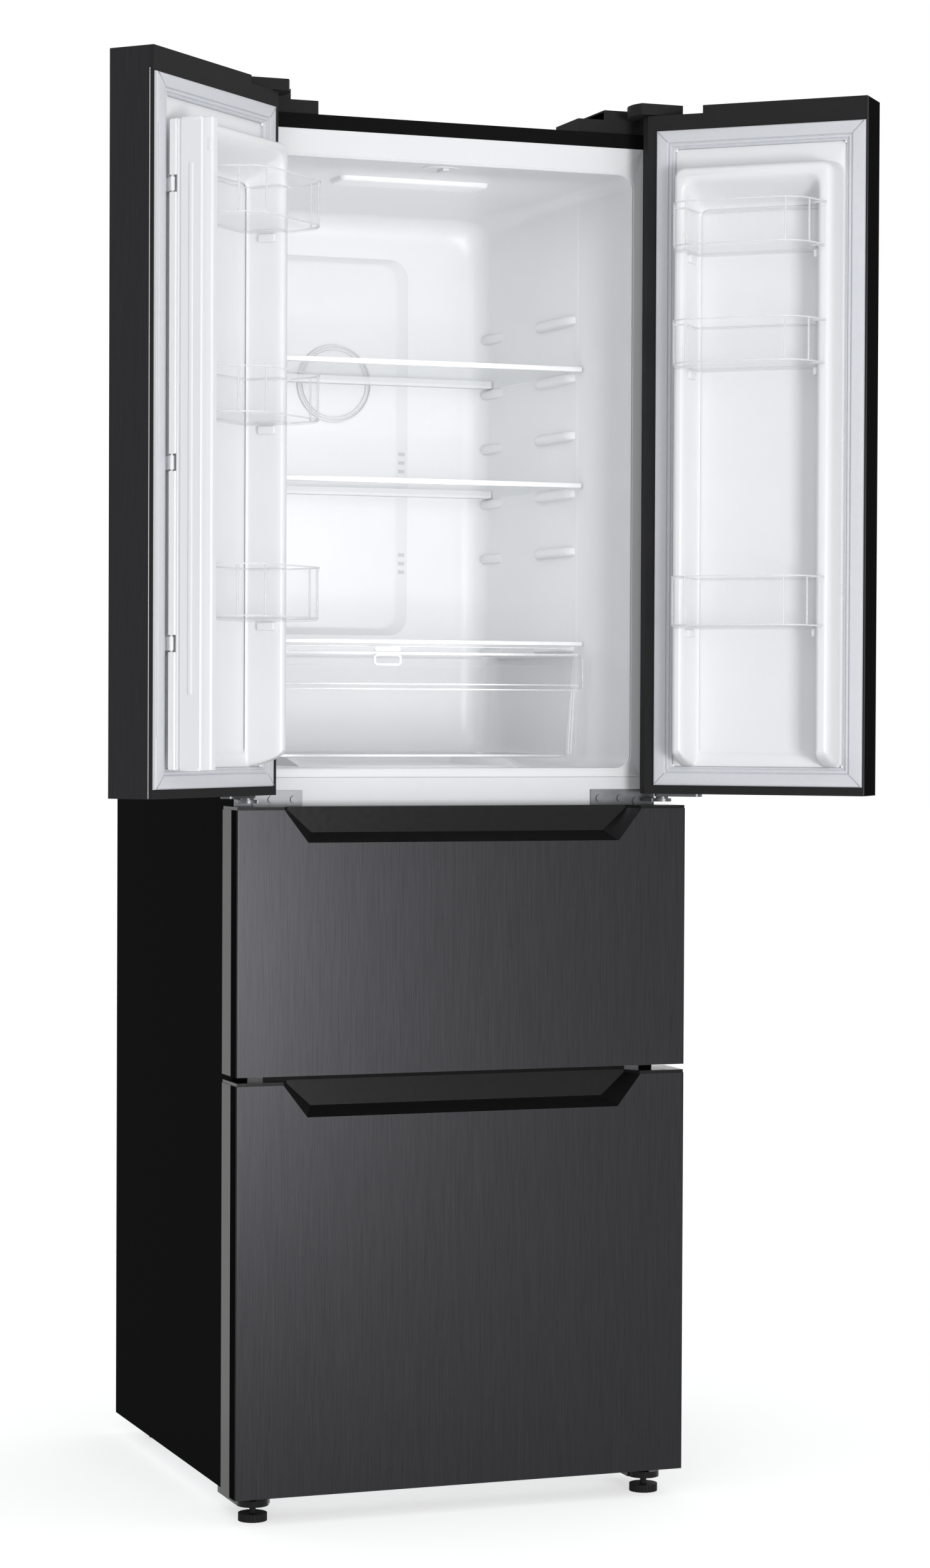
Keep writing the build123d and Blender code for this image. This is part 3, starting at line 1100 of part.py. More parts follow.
def bin_plan(side, inner, outer_inner, shrink):
    """Outline of a door bin seen from above: narrow between the dykes, wider in front of them."""
    step = DYKE_CREST + 0.5
    with BuildLine() as outline:
        Polyline((side * (inner + shrink), BIN_BACK + shrink), (side * (inner + shrink), step + shrink),
                 (side * (outer_inner + shrink), step + shrink),
                 (side * (outer_inner + BIN_TAPER + shrink), BIN_FRONT - shrink),
                 (side * (dyke_inner + BIN_OVERHANG - BIN_TAPER - shrink), BIN_FRONT - shrink),
                 (side * (dyke_inner + BIN_OVERHANG - shrink), step + shrink),
                 (side * (dyke_inner - BIN_INSET - shrink), step + shrink),
                 (side * (dyke_inner - BIN_INSET - shrink), BIN_BACK + shrink), close=True)
    make_face(outline.edges())


doors = (("left_door", -1, -LEFT_OPEN, LEFT_DYKE_OUT, LEFT_DYKE_IN, CAP_STEP_LEFT, LEFT_BINS),
         ("right_door", 1, RIGHT_OPEN, RIGHT_DYKE_OUT, RIGHT_DYKE_IN, CAP_STEP_RIGHT, RIGHT_BINS))
for name, side, opening, dyke_out, dyke_in, cap_inset, bin_heights in doors:
    cap_step = front_half - cap_inset
    bins = [DOOR_BOTTOM + height for height in bin_heights]
    hinge_axis = Axis((side * hinge_x, hinge_y, 0), (0, 0, 1))
    pin_bore = PIN_RADIUS + PIN_CLEARANCE

    # Steel skin folded round the front and both sides
    with BuildPart() as skin:
        with BuildSketch(Plane.XY.offset(DOOR_BOTTOM)):
            door_plan(side)
        extrude(amount=door_top - DOOR_BOTTOM)
        fillet(skin.edges().filter_by(Axis.Z).group_by(Axis.Y)[0], radius=DOOR_EDGE_RADIUS)
        with BuildSketch(Plane.XY.offset(DOOR_BOTTOM)):
            door_plan(side, SKIN)
        extrude(amount=door_top - DOOR_BOTTOM, mode=Mode.SUBTRACT)
        block(side * (free_x - 1), side * (free_x + BEYOND), front + SIDE_WRAP, lip + 1, DOOR_BOTTOM,
              door_top, Mode.SUBTRACT)
        block(side * (front_half - BEYOND), side * (front_half + 1), hinge_edge_back, lip + 1, DOOR_BOTTOM,
              door_top, Mode.SUBTRACT)
        block(side * cap_step, side * (front_half + 1), front - 1, lip + 1, door_step_top, door_top + 1,
              Mode.SUBTRACT)
    save(skin.part.rotate(hinge_axis, opening), f"{name}_skin")

    # Black plastic frame: top cap, bottom cap and the narrow strips beside the seal
    with BuildPart() as frame:
        with BuildSketch(Plane.XY.offset(DOOR_BOTTOM)):
            door_plan(side)
        extrude(amount=door_top - DOOR_BOTTOM)
        block(side * free_x, side * front_half, front, front + SKIN, DOOR_BOTTOM, door_top, Mode.SUBTRACT)
        for edge, back in ((free_x, front + SIDE_WRAP), (front_half - SKIN, hinge_edge_back)):
            block(side * edge, side * (edge + SKIN), front, back, DOOR_BOTTOM, door_top, Mode.SUBTRACT)
        block(side * (free_x + SKIN), side * (front_half - SKIN), front, hinge_edge_back - 1, lower_cap_top,
              seal_high, Mode.SUBTRACT)
        block(side * (free_x + SKIN), side * seal_out, front, plate_back, lower_cap_top, seal_high,
              Mode.SUBTRACT)
        block(side * seal_free, side * seal_out, plate_back, lip, seal_low, seal_high, Mode.SUBTRACT)
        block(side * cap_step, side * (front_half + 1), front - 1, lip + 1, door_step_top, door_top + 1,
              Mode.SUBTRACT)
        with Locations((side * hinge_x, hinge_y, DOOR_BOTTOM)):
            Cylinder(pin_bore, bore_top - DOOR_BOTTOM, align=RISING, mode=Mode.SUBTRACT)
        with Locations((side * hinge_x, hinge_y, bore_bottom)):
            Cylinder(pin_bore, door_top - bore_bottom, align=RISING, mode=Mode.SUBTRACT)
    save(frame.part.rotate(hinge_axis, opening), f"{name}_frame")

    # Hollow of the raised dyke, filled by the insulating core
    core_crest = DYKE_CREST - DYKE_WALL
    core_out = dyke_out + DYKE_WALL
    core_far = dyke_outer - DYKE_WALL
    core_low = dyke_low + DYKE_WALL
    core_high = dyke_high - DYKE_WALL
    recess_near = dyke_in - DYKE_WALL
    recess_far = dyke_inner + DYKE_WALL
    recess_low = recess_bottom - DYKE_WALL
    recess_high = recess_top + DYKE_WALL
    with BuildPart() as dyke_core:
        frustum((plate_back, side * core_out, side * core_far, core_low, core_high),
                (core_crest, side * (core_out + DYKE_DRAFT), side * (core_far - DYKE_DRAFT),
                 core_low + DYKE_END_DRAFT, core_high - DYKE_END_DRAFT), DYKE_CORNER - DYKE_WALL)
        frustum((plate_back, side * recess_near, side * recess_far, recess_low,
                 recess_high - RECESS_SLOPE),
                (core_crest, side * recess_near, side * recess_far, recess_low, recess_high),
                RECESS_CORNER + DYKE_WALL, Mode.SUBTRACT)

    with BuildPart() as core:
        block(side * (free_x + SKIN), side * (front_half - SKIN), front + SKIN, hinge_edge_back - 1,
              lower_cap_top, seal_high)
        block(side * (free_x + SKIN), side * seal_out, front + SKIN, plate_back, lower_cap_top, seal_high)
        add(dyke_core.part)
    save(core.part.rotate(hinge_axis, opening), f"{name}_core")

    # White liner with its dykes and the small ledges under the bins
    with BuildPart() as liner:
        block(side * seal_free, side * seal_out, plate_back, seat, seal_low, seal_high)
        frustum((plate_back, side * dyke_out, side * dyke_outer, dyke_low, dyke_high),
                (DYKE_CREST, side * (dyke_out + DYKE_DRAFT), side * (dyke_outer - DYKE_DRAFT),
                 dyke_low + DYKE_END_DRAFT, dyke_high - DYKE_END_DRAFT), DYKE_CORNER)
        add(dyke_core.part, mode=Mode.SUBTRACT)
        frustum((seat, side * dyke_in, side * dyke_inner, recess_bottom, recess_top - RECESS_SLOPE),
                (DYKE_CREST, side * dyke_in, side * dyke_inner, recess_bottom, recess_top),
                RECESS_CORNER, Mode.SUBTRACT)
        for z in bins:
            for wall, inward in ((dyke_in, BIN_LEDGE), (dyke_inner, -BIN_LEDGE)):
                block(side * (wall - inward / 2), side * (wall + inward), BIN_LEDGE_FRONT, BIN_LEDGE_BACK,
                      z - BIN_LEDGE_HEIGHT, z - REST_GAP)
        if side < 0:
            near, far = KNUCKLE_ARM
            knuckle_front = FLAP_NEAR - BRACKET_GAP
            for z in flap_slots:
                low = z + KNUCKLE_GAP
                high = z + FLAP_SLOT_HEIGHT - KNUCKLE_GAP
                block(-far, -near, plate_back + PANEL_THICK / 2, knuckle_front, low, high)
                block(-KNUCKLE_ARM_OUT, -FLAP_PIVOT_X, seal_back + BRACKET_GAP / 2, knuckle_front, low,
                      high)
                with Locations((-FLAP_PIVOT_X, FLAP_PIVOT_Y, low)):
                    Cylinder(KNUCKLE_RADIUS, high - low, align=RISING)
                with Locations((-FLAP_PIVOT_X, FLAP_PIVOT_Y, z - FLAP_PIN_REACH)):
                    Cylinder(FLAP_PIN_RADIUS, FLAP_SLOT_HEIGHT + 2 * FLAP_PIN_REACH, align=RISING)
    save(liner.part.rotate(hinge_axis, opening), f"{name}_liner")

    # Magnetic seal
    with BuildPart() as seal:
        ring(side * seal_free, side * seal_out, seal_low, seal_high, SEAL_WIDTH, seat, seal_back)
    save(seal.part.rotate(hinge_axis, opening), f"{name}_seal")

    # Closer cam plate under the door
    with BuildPart() as cam:
        block(side * cam_in, side * (hinge_x + CAM_HALF), hinge_y - CAM_HALF, hinge_y + CAM_HALF,
              cam_bottom, DOOR_BOTTOM)
        fillet(cam.edges().filter_by(Axis.Z), radius=CAM_CORNER)
        with Locations((side * hinge_x, hinge_y, cam_bottom)):
            Cylinder(pin_bore, BEYOND, mode=Mode.SUBTRACT)
    save(cam.part.rotate(hinge_axis, opening), f"{name}_cam")

    # Three clear bins that hang between the dykes
    with BuildPart() as door_bins:
        for z, bin_height in zip(bins, bin_sizes):
            for base, shrink, mode in ((z, 0.0, Mode.ADD), (z + BIN_WALL, BIN_WALL, Mode.SUBTRACT)):
                with BuildSketch(Plane.XY.offset(base)) as plan:
                    bin_plan(side, dyke_in + BIN_INSET, dyke_in - BIN_OVERHANG, shrink)
                    fillet(plan.vertices().group_by(Axis.Y)[-1], radius=BIN_CORNER - shrink)
                extrude(to_extrude=plan.sketch, amount=z + bin_height - base, mode=mode)
    save(door_bins.part.rotate(hinge_axis, opening), f"{name}_bins")

# Folding flap that covers the gap between the doors, shown folded against the open left door
FLAP_RELIEF = 2.0
NEAR_RIB = 9.0
PANEL_NEAR = 15.0
PANEL_FAR = 44.0
FLAP_EDGE = 4.0
with BuildPart() as centre_flap:
    flap_back = FLAP_FACE + FLAP_THICK
    flap_base = FLAP_FACE + FLAP_RELIEF
    block(-flap_back, -flap_base, FLAP_NEAR, FLAP_NEAR + FLAP_WIDTH, flap_bottom, flap_top)
    block(-flap_base, -FLAP_FACE, FLAP_NEAR, FLAP_NEAR + NEAR_RIB, flap_bottom, flap_top)
    block(-flap_base, -FLAP_FACE, FLAP_NEAR + PANEL_NEAR, FLAP_NEAR + PANEL_FAR, flap_bottom, flap_top)
    block(-flap_base, -flap_base + FLAP_RELIEF / 2, FLAP_NEAR, FLAP_NEAR + FLAP_WIDTH - FLAP_EDGE,
          flap_bottom, flap_top)
    for z in flap_slots:
        with Locations((-FLAP_PIVOT_X, FLAP_PIVOT_Y, z)):
            Cylinder(SLOT_RADIUS, FLAP_SLOT_HEIGHT, align=RISING, mode=Mode.SUBTRACT)
        with Locations((-FLAP_PIVOT_X, FLAP_PIVOT_Y, z - FLAP_PIN_REACH - 1)):
            Cylinder(FLAP_PIN_RADIUS + PIN_CLEARANCE, FLAP_SLOT_HEIGHT + 2 * FLAP_PIN_REACH + 2,
                     align=RISING, mode=Mode.SUBTRACT)
save(centre_flap.part.rotate(Axis((-hinge_x, hinge_y, 0), (0, 0, 1)), -LEFT_OPEN), "centre_flap")
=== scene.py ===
import json
from math import cos, pi, radians, sin

import bmesh
import bpy
from mathutils import Matrix, Vector


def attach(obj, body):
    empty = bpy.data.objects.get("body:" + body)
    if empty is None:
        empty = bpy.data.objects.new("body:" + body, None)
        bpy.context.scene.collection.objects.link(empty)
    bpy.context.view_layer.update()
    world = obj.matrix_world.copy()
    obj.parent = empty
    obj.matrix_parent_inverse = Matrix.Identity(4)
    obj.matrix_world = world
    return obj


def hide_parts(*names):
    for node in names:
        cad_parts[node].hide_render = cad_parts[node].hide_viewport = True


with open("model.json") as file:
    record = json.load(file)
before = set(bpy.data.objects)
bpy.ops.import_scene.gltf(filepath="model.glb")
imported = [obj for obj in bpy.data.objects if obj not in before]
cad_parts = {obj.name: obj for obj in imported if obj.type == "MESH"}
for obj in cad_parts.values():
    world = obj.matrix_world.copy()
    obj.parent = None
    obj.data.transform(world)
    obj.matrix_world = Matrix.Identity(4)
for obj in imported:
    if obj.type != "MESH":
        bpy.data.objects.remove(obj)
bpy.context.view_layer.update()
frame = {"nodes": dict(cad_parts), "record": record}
MM = 0.001

# Camera: place in millimetres, angles in degrees, focal length in pixels of a frame 2501 pixels high
CAMERA_PLACE = (-1552.8, -4264.0, 997.2)
CAMERA_YAW = 20.28
CAMERA_PITCH = -1.129
CAMERA_ROLL = 0.255
CAMERA_SEES_TO = 50
FOCAL_PIXELS = 5738.0
FRAME_HEIGHT = 2501.0
SENSOR = 36.0

# Fridge compartment, in millimetres: half widths, and heights above the floor
FLANGE_HALF = 262.8
FLANGE_TOP = 1720.5
OPENING_HALF = 247.0
BACK_HALF = 224.0
FRIDGE_BACK = 480.0
CEILING = 1686.0
FRIDGE_FLOOR = 928.0
SEAM = 916.5

# Doors: where their hinges stand and how far they are open at rest, in degrees
HINGE_X = 276.5
HINGE_Y = -40.0
LEFT_OPEN = 137.3
RIGHT_OPEN = 138.2


def swung(side, opened):
    """Carries a piece that is drawn with its door shut to the door's place at rest."""
    hinge = Vector((side * HINGE_X * MM, HINGE_Y * MM, 0))
    return (Matrix.Translation(hinge) @ Matrix.Rotation(radians(side * opened), 4, "Z")
            @ Matrix.Translation(-hinge))


closed_to_left = swung(-1, LEFT_OPEN)
closed_to_right = swung(1, RIGHT_OPEN)


# Materials

RELIEF_DEPTH = 0.0004
CLEAR_GRAIN = 25
CLEAR_BUMP = 0.01
RIM_BLEND = 0.3
RIM_POWER = 2.6


def material(name, low, high, grain, rough, bump, specular=0.5, metallic=0.0, edge=1.0, detail=3.0,
             stretch=(1, 1, 1), fine=0.0, glow=0.0):
    """A surface whose colour, roughness and relief follow a noise, stretched into brush marks if asked."""
    made = bpy.data.materials.new(name)
    made.use_nodes = True
    nodes, links = made.node_tree.nodes, made.node_tree.links
    shader = nodes["Principled BSDF"]
    place = nodes.new("ShaderNodeTexCoord")
    scale = nodes.new("ShaderNodeMapping")
    scale.inputs["Scale"].default_value = stretch
    links.new(place.outputs["Object"], scale.inputs["Vector"])
    noise = nodes.new("ShaderNodeTexNoise")
    noise.inputs["Scale"].default_value = grain
    noise.inputs["Detail"].default_value = detail
    links.new(scale.outputs["Vector"], noise.inputs["Vector"])
    mix = nodes.new("ShaderNodeMix")
    mix.data_type = "RGBA"
    mix.inputs[6].default_value = (*low, 1)
    mix.inputs[7].default_value = (*high, 1)
    links.new(noise.outputs["Fac"], mix.inputs[0])
    links.new(mix.outputs[2], shader.inputs["Base Color"])
    spread = nodes.new("ShaderNodeMapRange")
    spread.inputs["To Min"].default_value = rough[0]
    spread.inputs["To Max"].default_value = rough[1]
    links.new(noise.outputs["Fac"], spread.inputs["Value"])
    links.new(spread.outputs["Result"], shader.inputs["Roughness"])
    relief = nodes.new("ShaderNodeBump")
    relief.inputs["Strength"].default_value = bump
    relief.inputs["Distance"].default_value = RELIEF_DEPTH
    source = noise
    if fine:
        source = nodes.new("ShaderNodeTexNoise")
        source.inputs["Scale"].default_value = fine
        links.new(place.outputs["Object"], source.inputs["Vector"])
    links.new(source.outputs["Fac"], relief.inputs["Height"])
    links.new(relief.outputs["Normal"], shader.inputs["Normal"])
    shader.inputs["Metallic"].default_value = metallic
    shader.inputs["Specular IOR Level"].default_value = specular
    shader.inputs["Specular Tint"].default_value = (edge, edge, edge, 1)
    if glow:
        shader.inputs["Emission Color"].default_value = (1, 1, 1, 1)
        shader.inputs["Emission Strength"].default_value = glow
    return made


def see_through(name, low, high, face, edge, rough):
    """Clear plastic or glass: nearly invisible face on, and whiter where it is seen along its surface."""
    made = material(name, low, high, CLEAR_GRAIN, rough, CLEAR_BUMP)
    nodes, links = made.node_tree.nodes, made.node_tree.links
    weight = nodes.new("ShaderNodeLayerWeight")
    weight.inputs["Blend"].default_value = RIM_BLEND
    bend = nodes.new("ShaderNodeMath")
    bend.operation = "POWER"
    bend.inputs[1].default_value = RIM_POWER
    links.new(weight.outputs["Facing"], bend.inputs[0])
    level = nodes.new("ShaderNodeMapRange")
    level.inputs["To Min"].default_value = face
    level.inputs["To Max"].default_value = edge
    links.new(bend.outputs["Value"], level.inputs["Value"])
    links.new(level.outputs["Result"], nodes["Principled BSDF"].inputs["Alpha"])
    return made


black_steel = material("black_painted_steel", (0.0068, 0.0068, 0.0071), (0.0105, 0.0105, 0.011),
                       grain=300, rough=(0.5, 0.6), bump=0.05, specular=0.0006)
dark_steel = material("dark_painted_steel", (0.028, 0.028, 0.03), (0.036, 0.036, 0.038),
                      grain=200, rough=(0.4, 0.5), bump=0.05, specular=0.3)
brushed = material("dark_brushed_steel", (0.0198, 0.0198, 0.0215), (0.0368, 0.0368, 0.0398),
                   grain=30, rough=(0.24, 0.32), bump=0.03, metallic=1.0, edge=0.28, detail=4,
                   stretch=(60, 60, 0.6))
galvanised = material("galvanised_sheet", (0.3, 0.31, 0.32), (0.5, 0.51, 0.52),
                      grain=25, rough=(0.35, 0.55), bump=0.05, metallic=0.9)
zinc = material("zinc_plated_steel", (0.115, 0.118, 0.124), (0.18, 0.184, 0.192),
                grain=60, rough=(0.32, 0.46), bump=0.08, metallic=1.0)
aluminium = material("bare_aluminium", (0.6, 0.61, 0.62), (0.75, 0.76, 0.77),
                     grain=80, rough=(0.3, 0.4), bump=0.05, metallic=1.0)
black_plastic = material("black_moulded_plastic", (0.02, 0.02, 0.0208), (0.028, 0.028, 0.029),
                         grain=500, rough=(0.4, 0.55), bump=0.1, specular=0.03)
gloss_black = material("gloss_black_plastic", (0.008, 0.008, 0.0084), (0.011, 0.011, 0.0115),
                       grain=120, rough=(0.14, 0.22), bump=0.02, specular=0.14)
white_plastic = material("white_moulded_plastic", (0.76, 0.77, 0.79), (0.8, 0.81, 0.825),
                         grain=30, rough=(0.32, 0.42), bump=0.03, specular=0.4)
liner_white = material("gloss_white_liner", (0.82, 0.83, 0.845), (0.85, 0.857, 0.87),
                       grain=12, rough=(0.3, 0.36), bump=0.006, specular=0.45, fine=60)
shelf_white = material("white_shelf_trim", (0.84, 0.845, 0.855), (0.87, 0.875, 0.885),
                       grain=30, rough=(0.28, 0.36), bump=0.02)
# Pale grey for the duct's slots: painted shade standing in for the dark inside of each slot.
painted_slot_shade = material("slot_shadow", (0.62, 0.62, 0.63), (0.68, 0.68, 0.69),
                     grain=60, rough=(0.7, 0.8), bump=0.02, specular=0.1)
glowing = material("lit_light_cover", (0.85, 0.85, 0.86), (0.88, 0.88, 0.89),
                   grain=40, rough=(0.3, 0.4), bump=0.02, specular=0.4, glow=0.04)
grey_rubber = material("grey_seal_rubber", (0.62, 0.632, 0.665), (0.67, 0.682, 0.715),
                       grain=150, rough=(0.45, 0.58), bump=0.08, specular=0.35)
light_rubber = material("light_seal_lip", (0.68, 0.69, 0.72), (0.74, 0.75, 0.78),
                        grain=150, rough=(0.35, 0.45), bump=0.04, specular=0.4)
rubber_joint = material("seal_joint_line", (0.3, 0.31, 0.335), (0.35, 0.36, 0.385),
                        grain=150, rough=(0.5, 0.6), bump=0.05, specular=0.3)
foam = material("insulating_foam", (0.6, 0.5, 0.25), (0.75, 0.66, 0.38),
                grain=120, rough=(0.8, 0.95), bump=0.6)
clear = see_through("clear_plastic", (0.86, 0.87, 0.89), (0.9, 0.91, 0.925),
                    face=0.009, edge=0.6, rough=(0.05, 0.1))
clear_crisper = see_through("clear_crisper_plastic", (0.84, 0.85, 0.87), (0.88, 0.89, 0.905),
                            face=0.012, edge=0.55, rough=(0.06, 0.12))
# Whiter, more opaque clear plastic for rims, fine lines and corner bars: painted highlight on the real
# moulded edges of the bins and crisper, and on bars that stand only for highlights.
clear_edge_highlight = see_through("clear_plastic_edge_highlight", (0.88, 0.89, 0.905), (0.92, 0.925, 0.94),
                         face=0.5, edge=0.95, rough=(0.08, 0.14))
clear_rings = see_through("clear_cover_rings", (0.93, 0.935, 0.945), (0.96, 0.965, 0.975),
                          face=0.75, edge=0.95, rough=(0.1, 0.16))
glass = see_through("shelf_glass", (0.78, 0.82, 0.82), (0.82, 0.86, 0.86),
                    face=0.03, edge=0.4, rough=(0.02, 0.05))
frosted = see_through("frosted_plastic", (0.8, 0.82, 0.85), (0.86, 0.88, 0.9),
                      face=0.55, edge=0.9, rough=(0.2, 0.3))

finish_of = {
    "black_steel": black_steel, "dark_painted_steel": dark_steel, "galvanised_steel": galvanised,
    "dark_brushed_steel": brushed, "zinc_steel": zinc, "bare_aluminium": aluminium,
    "compressor_paint": black_plastic, "black_plastic": black_plastic, "gloss_black_plastic": gloss_black,
    "foot_plastic": black_plastic, "white_plastic": white_plastic, "frosted_plastic": frosted,
    "clear_plastic": clear, "shelf_glass": glass, "grey_rubber": grey_rubber, "foam": foam}
slot_of = {part["node"]: part["material_slot"] for part in frame["record"]["subparts"]}
for name, node in frame["nodes"].items():
    node.data.materials.clear()
    node.data.materials.append(finish_of[slot_of[name]])


# Mesh helpers: every size is in millimetres, and door pieces are drawn with their door shut

LEAST_RADIUS = 0.05
BRICK_CORNER_STEPS = 4
BRICK_RADIUS = 1.5
SOFT_PART = 0.3
CORNER_SHARE = 0.45
WELD_DISTANCE = 0.001


def rounded(x0, x1, z0, z1, radius, steps=6):
    """A rounded rectangle as (across, up) points, always the same number of them."""
    x0, x1 = min(x0, x1), max(x0, x1)
    radius = max(LEAST_RADIUS, min(radius, (x1 - x0) / 2 - LEAST_RADIUS, (z1 - z0) / 2 - LEAST_RADIUS))
    points = []
    for x, z, first in ((x1 - radius, z1 - radius, 0), (x0 + radius, z1 - radius, 90),
                        (x0 + radius, z0 + radius, 180), (x1 - radius, z0 + radius, 270)):
        for step in range(steps + 1):
            angle = radians(first + 90 * step / steps)
            points.append((x + radius * cos(angle), z + radius * sin(angle)))
    return points


def upright(x0, x1, z0, z1, radius, layers):
    """Loops of an upright rounded rectangle, each drawn in by an inset at its own depth."""
    x0, x1 = min(x0, x1), max(x0, x1)
    return [[(x, y, z) for x, z in rounded(x0 + inset, x1 - inset, z0 + inset, z1 - inset, radius - inset)]
            for inset, y in layers]


def lying(x0, x1, y0, y1, radius, layers, steps=6):
    """Loops of a lying rounded rectangle, each drawn in by an inset at its own height."""
    return [[(x, y, z) for x, y in rounded(x0 + inset, x1 - inset, y0 + inset, y1 - inset, radius - inset,
                                           steps)] for inset, z in layers]


def join_loops(mesh, loops, first=False, last=False, around=False):
    """Joins loops of equally many points with quads and closes the ends that are asked for."""
    rows = [[mesh.verts.new(point) for point in loop] for loop in loops]
    if around:
        rows.append(rows[0])
    for low, high in zip(rows, rows[1:]):
        for i in range(len(low)):
            j = (i + 1) % len(low)
            mesh.faces.new((low[i], low[j], high[j], high[i]))
    if first:
        mesh.faces.new(rows[0][::-1])
    if last:
        mesh.faces.new(rows[-1])


def brick(mesh, x0, x1, y0, y1, z0, z1, soft):
    """A box between two corners, with softened edges and corners."""
    x0, x1, y0, y1 = min(x0, x1), max(x0, x1), min(y0, y1), max(y0, y1)
    part = soft * SOFT_PART
    layers = ((soft, z0), (part, z0 + part), (0, z0 + soft), (0, z1 - soft), (part, z1 - part), (soft, z1))
    join_loops(mesh, lying(x0, x1, y0, y1, soft * BRICK_RADIUS, layers, BRICK_CORNER_STEPS), True, True)


def inset_outline(points, distance):
    """A closed anticlockwise outline moved inwards by a distance."""
    made = []
    for i, here in enumerate(points):
        before, after = points[i - 1], points[(i + 1) % len(points)]
        a, b = (here - before).normalized(), (after - here).normalized()
        na, nb = Vector((-a.y, a.x)), Vector((-b.y, b.x))
        made.append(here + (na + nb) * (distance / (1 + na.dot(nb))))
    return made


def soften(points, radii, steps=5):
    """The same outline with each corner rounded."""
    made = []
    for i, here in enumerate(points):
        a, b = points[i - 1] - here, points[(i + 1) % len(points)] - here
        reach = min(radii[i], CORNER_SHARE * a.length, CORNER_SHARE * b.length)
        near, far = here + a.normalized() * reach, here + b.normalized() * reach
        for step in range(steps + 1):
            t = step / steps
            made.append(near * (1 - t) ** 2 + here * 2 * t * (1 - t) + far * t ** 2)
    return made


def piece(name, body, finish, node, build, place=None, smooth=35):
    """A mesh drawn by build, put in its place, that rides on a body and stands for a CAD node."""
    mesh = bmesh.new()
    build(mesh)
    bmesh.ops.remove_doubles(mesh, verts=mesh.verts, dist=WELD_DISTANCE)
    bmesh.ops.recalc_face_normals(mesh, faces=mesh.faces)
    bmesh.ops.transform(mesh, matrix=(place or Matrix()) @ Matrix.Scale(MM, 4), verts=mesh.verts)
    data = bpy.data.meshes.new(name)
    mesh.to_mesh(data)
    mesh.free()
    data.materials.append(finish)
    data.polygons.foreach_set("use_smooth", [True] * len(data.polygons))
    data.set_sharp_from_angle(angle=radians(smooth))
    made = bpy.data.objects.new(name, data)
    bpy.context.scene.collection.objects.link(made)
    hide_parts(node)
    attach(made, body)


# Magnetic seals: a band with two fine ribs near its inner edge, run round with mitred corners. The profile
# gives each point's inset from the seal's outer edge and its depth.
SEAL_LOW = 907.0
SEAL_HIGH = 1733.5
SEAL_FREE = 4.0
SEAL_OUT = 276.0
DRAWER_SEAL_HALF = 280.5
UPPER_DRAWER_SEAL = (568.5, 860.5)
LOWER_DRAWER_SEAL = (51.0, 523.5)
SEAL_PROFILE = ((0, -10), (0, -4.5), (0.5, -2.6), (1.6, -1.5), (3.4, -0.95), (8, -0.7), (14.8, -0.7),
                (15.8, -1.2), (16.4, -3.2), (17.2, -3.4), (17.8, -2.0), (19.2, -1.8), (20.4, -2.2),
                (20.8, -4.2), (21.6, -4.4), (22.2, -3.6), (23.2, -4.0), (24, -5.4), (24, -10))
MITRE_START = 1.6
MITRE_END = 15.4
MITRE_LAYERS = ((-1.6, 0.35), (-0.66, 0.35), (-0.62, 0.14))


def seal(x0, x1, z0, z1):
    def build(mesh):
        loops = []
        for inset, y in SEAL_PROFILE:
            a, b, c, d = x0 + inset, x1 - inset, z0 + inset, z1 - inset
            loops.append([(a, y, c), (b, y, c), (b, y, d), (a, y, d)])
        join_loops(mesh, loops, around=True)
    return build


def mitres(x0, x1, z0, z1):
    """The pressed joint lines across the four corners of a seal."""
    def build(mesh):
        for x, across in ((x0, 1), (x1, -1)):
            for z, up in ((z0, 1), (z1, -1)):
                near = (x + across * MITRE_START, z + up * MITRE_START)
                far = (x + across * MITRE_END, z + up * MITRE_END)
                loops = []
                for y, half in MITRE_LAYERS:
                    rise = across * up * half
                    loops.append([(near[0] - half, y, near[1] + rise), (near[0] + half, y, near[1] - rise),
                                  (far[0] + half, y, far[1] - rise), (far[0] - half, y, far[1] + rise)])
                join_loops(mesh, loops, True, True)
    return build


seals = (("left_door", (-SEAL_OUT, -SEAL_FREE, SEAL_LOW, SEAL_HIGH), closed_to_left),
         ("right_door", (SEAL_FREE, SEAL_OUT, SEAL_LOW, SEAL_HIGH), closed_to_right),
         ("upper_drawer", (-DRAWER_SEAL_HALF, DRAWER_SEAL_HALF, *UPPER_DRAWER_SEAL), None),
         ("lower_drawer", (-DRAWER_SEAL_HALF, DRAWER_SEAL_HALF, *LOWER_DRAWER_SEAL), None))
for name, edges, place in seals:
    piece(name + "_ribbed_seal", name, grey_rubber, name + "_seal", seal(*edges), place, smooth=25)
    piece(name + "_seal_mitres", name, rubber_joint, name + "_seal", mitres(*edges), place)

# Each lip: near and far edge, foot, head and face
LIPS = ((2.4, 3.3, 896.5, 1737.5, -10.6), (5.0, 5.9, SEAL_LOW + 60, SEAL_HIGH - 60, -0.5),
        (7.6, 8.3, SEAL_LOW + 62, SEAL_HIGH - 62, -0.55))
LIP_THICK = 1.2
LIP_SOFT = 0.3


def lip_lines(mesh):
    """Fine lips that run down the free edge of the left door's seal."""
    for near, far, low, high, y in LIPS:
        brick(mesh, -far, -near, y - LIP_THICK, y, low, high, LIP_SOFT)


piece("left_door_seal_lips", "left_door", light_rubber, "left_door_seal", lip_lines, closed_to_left)


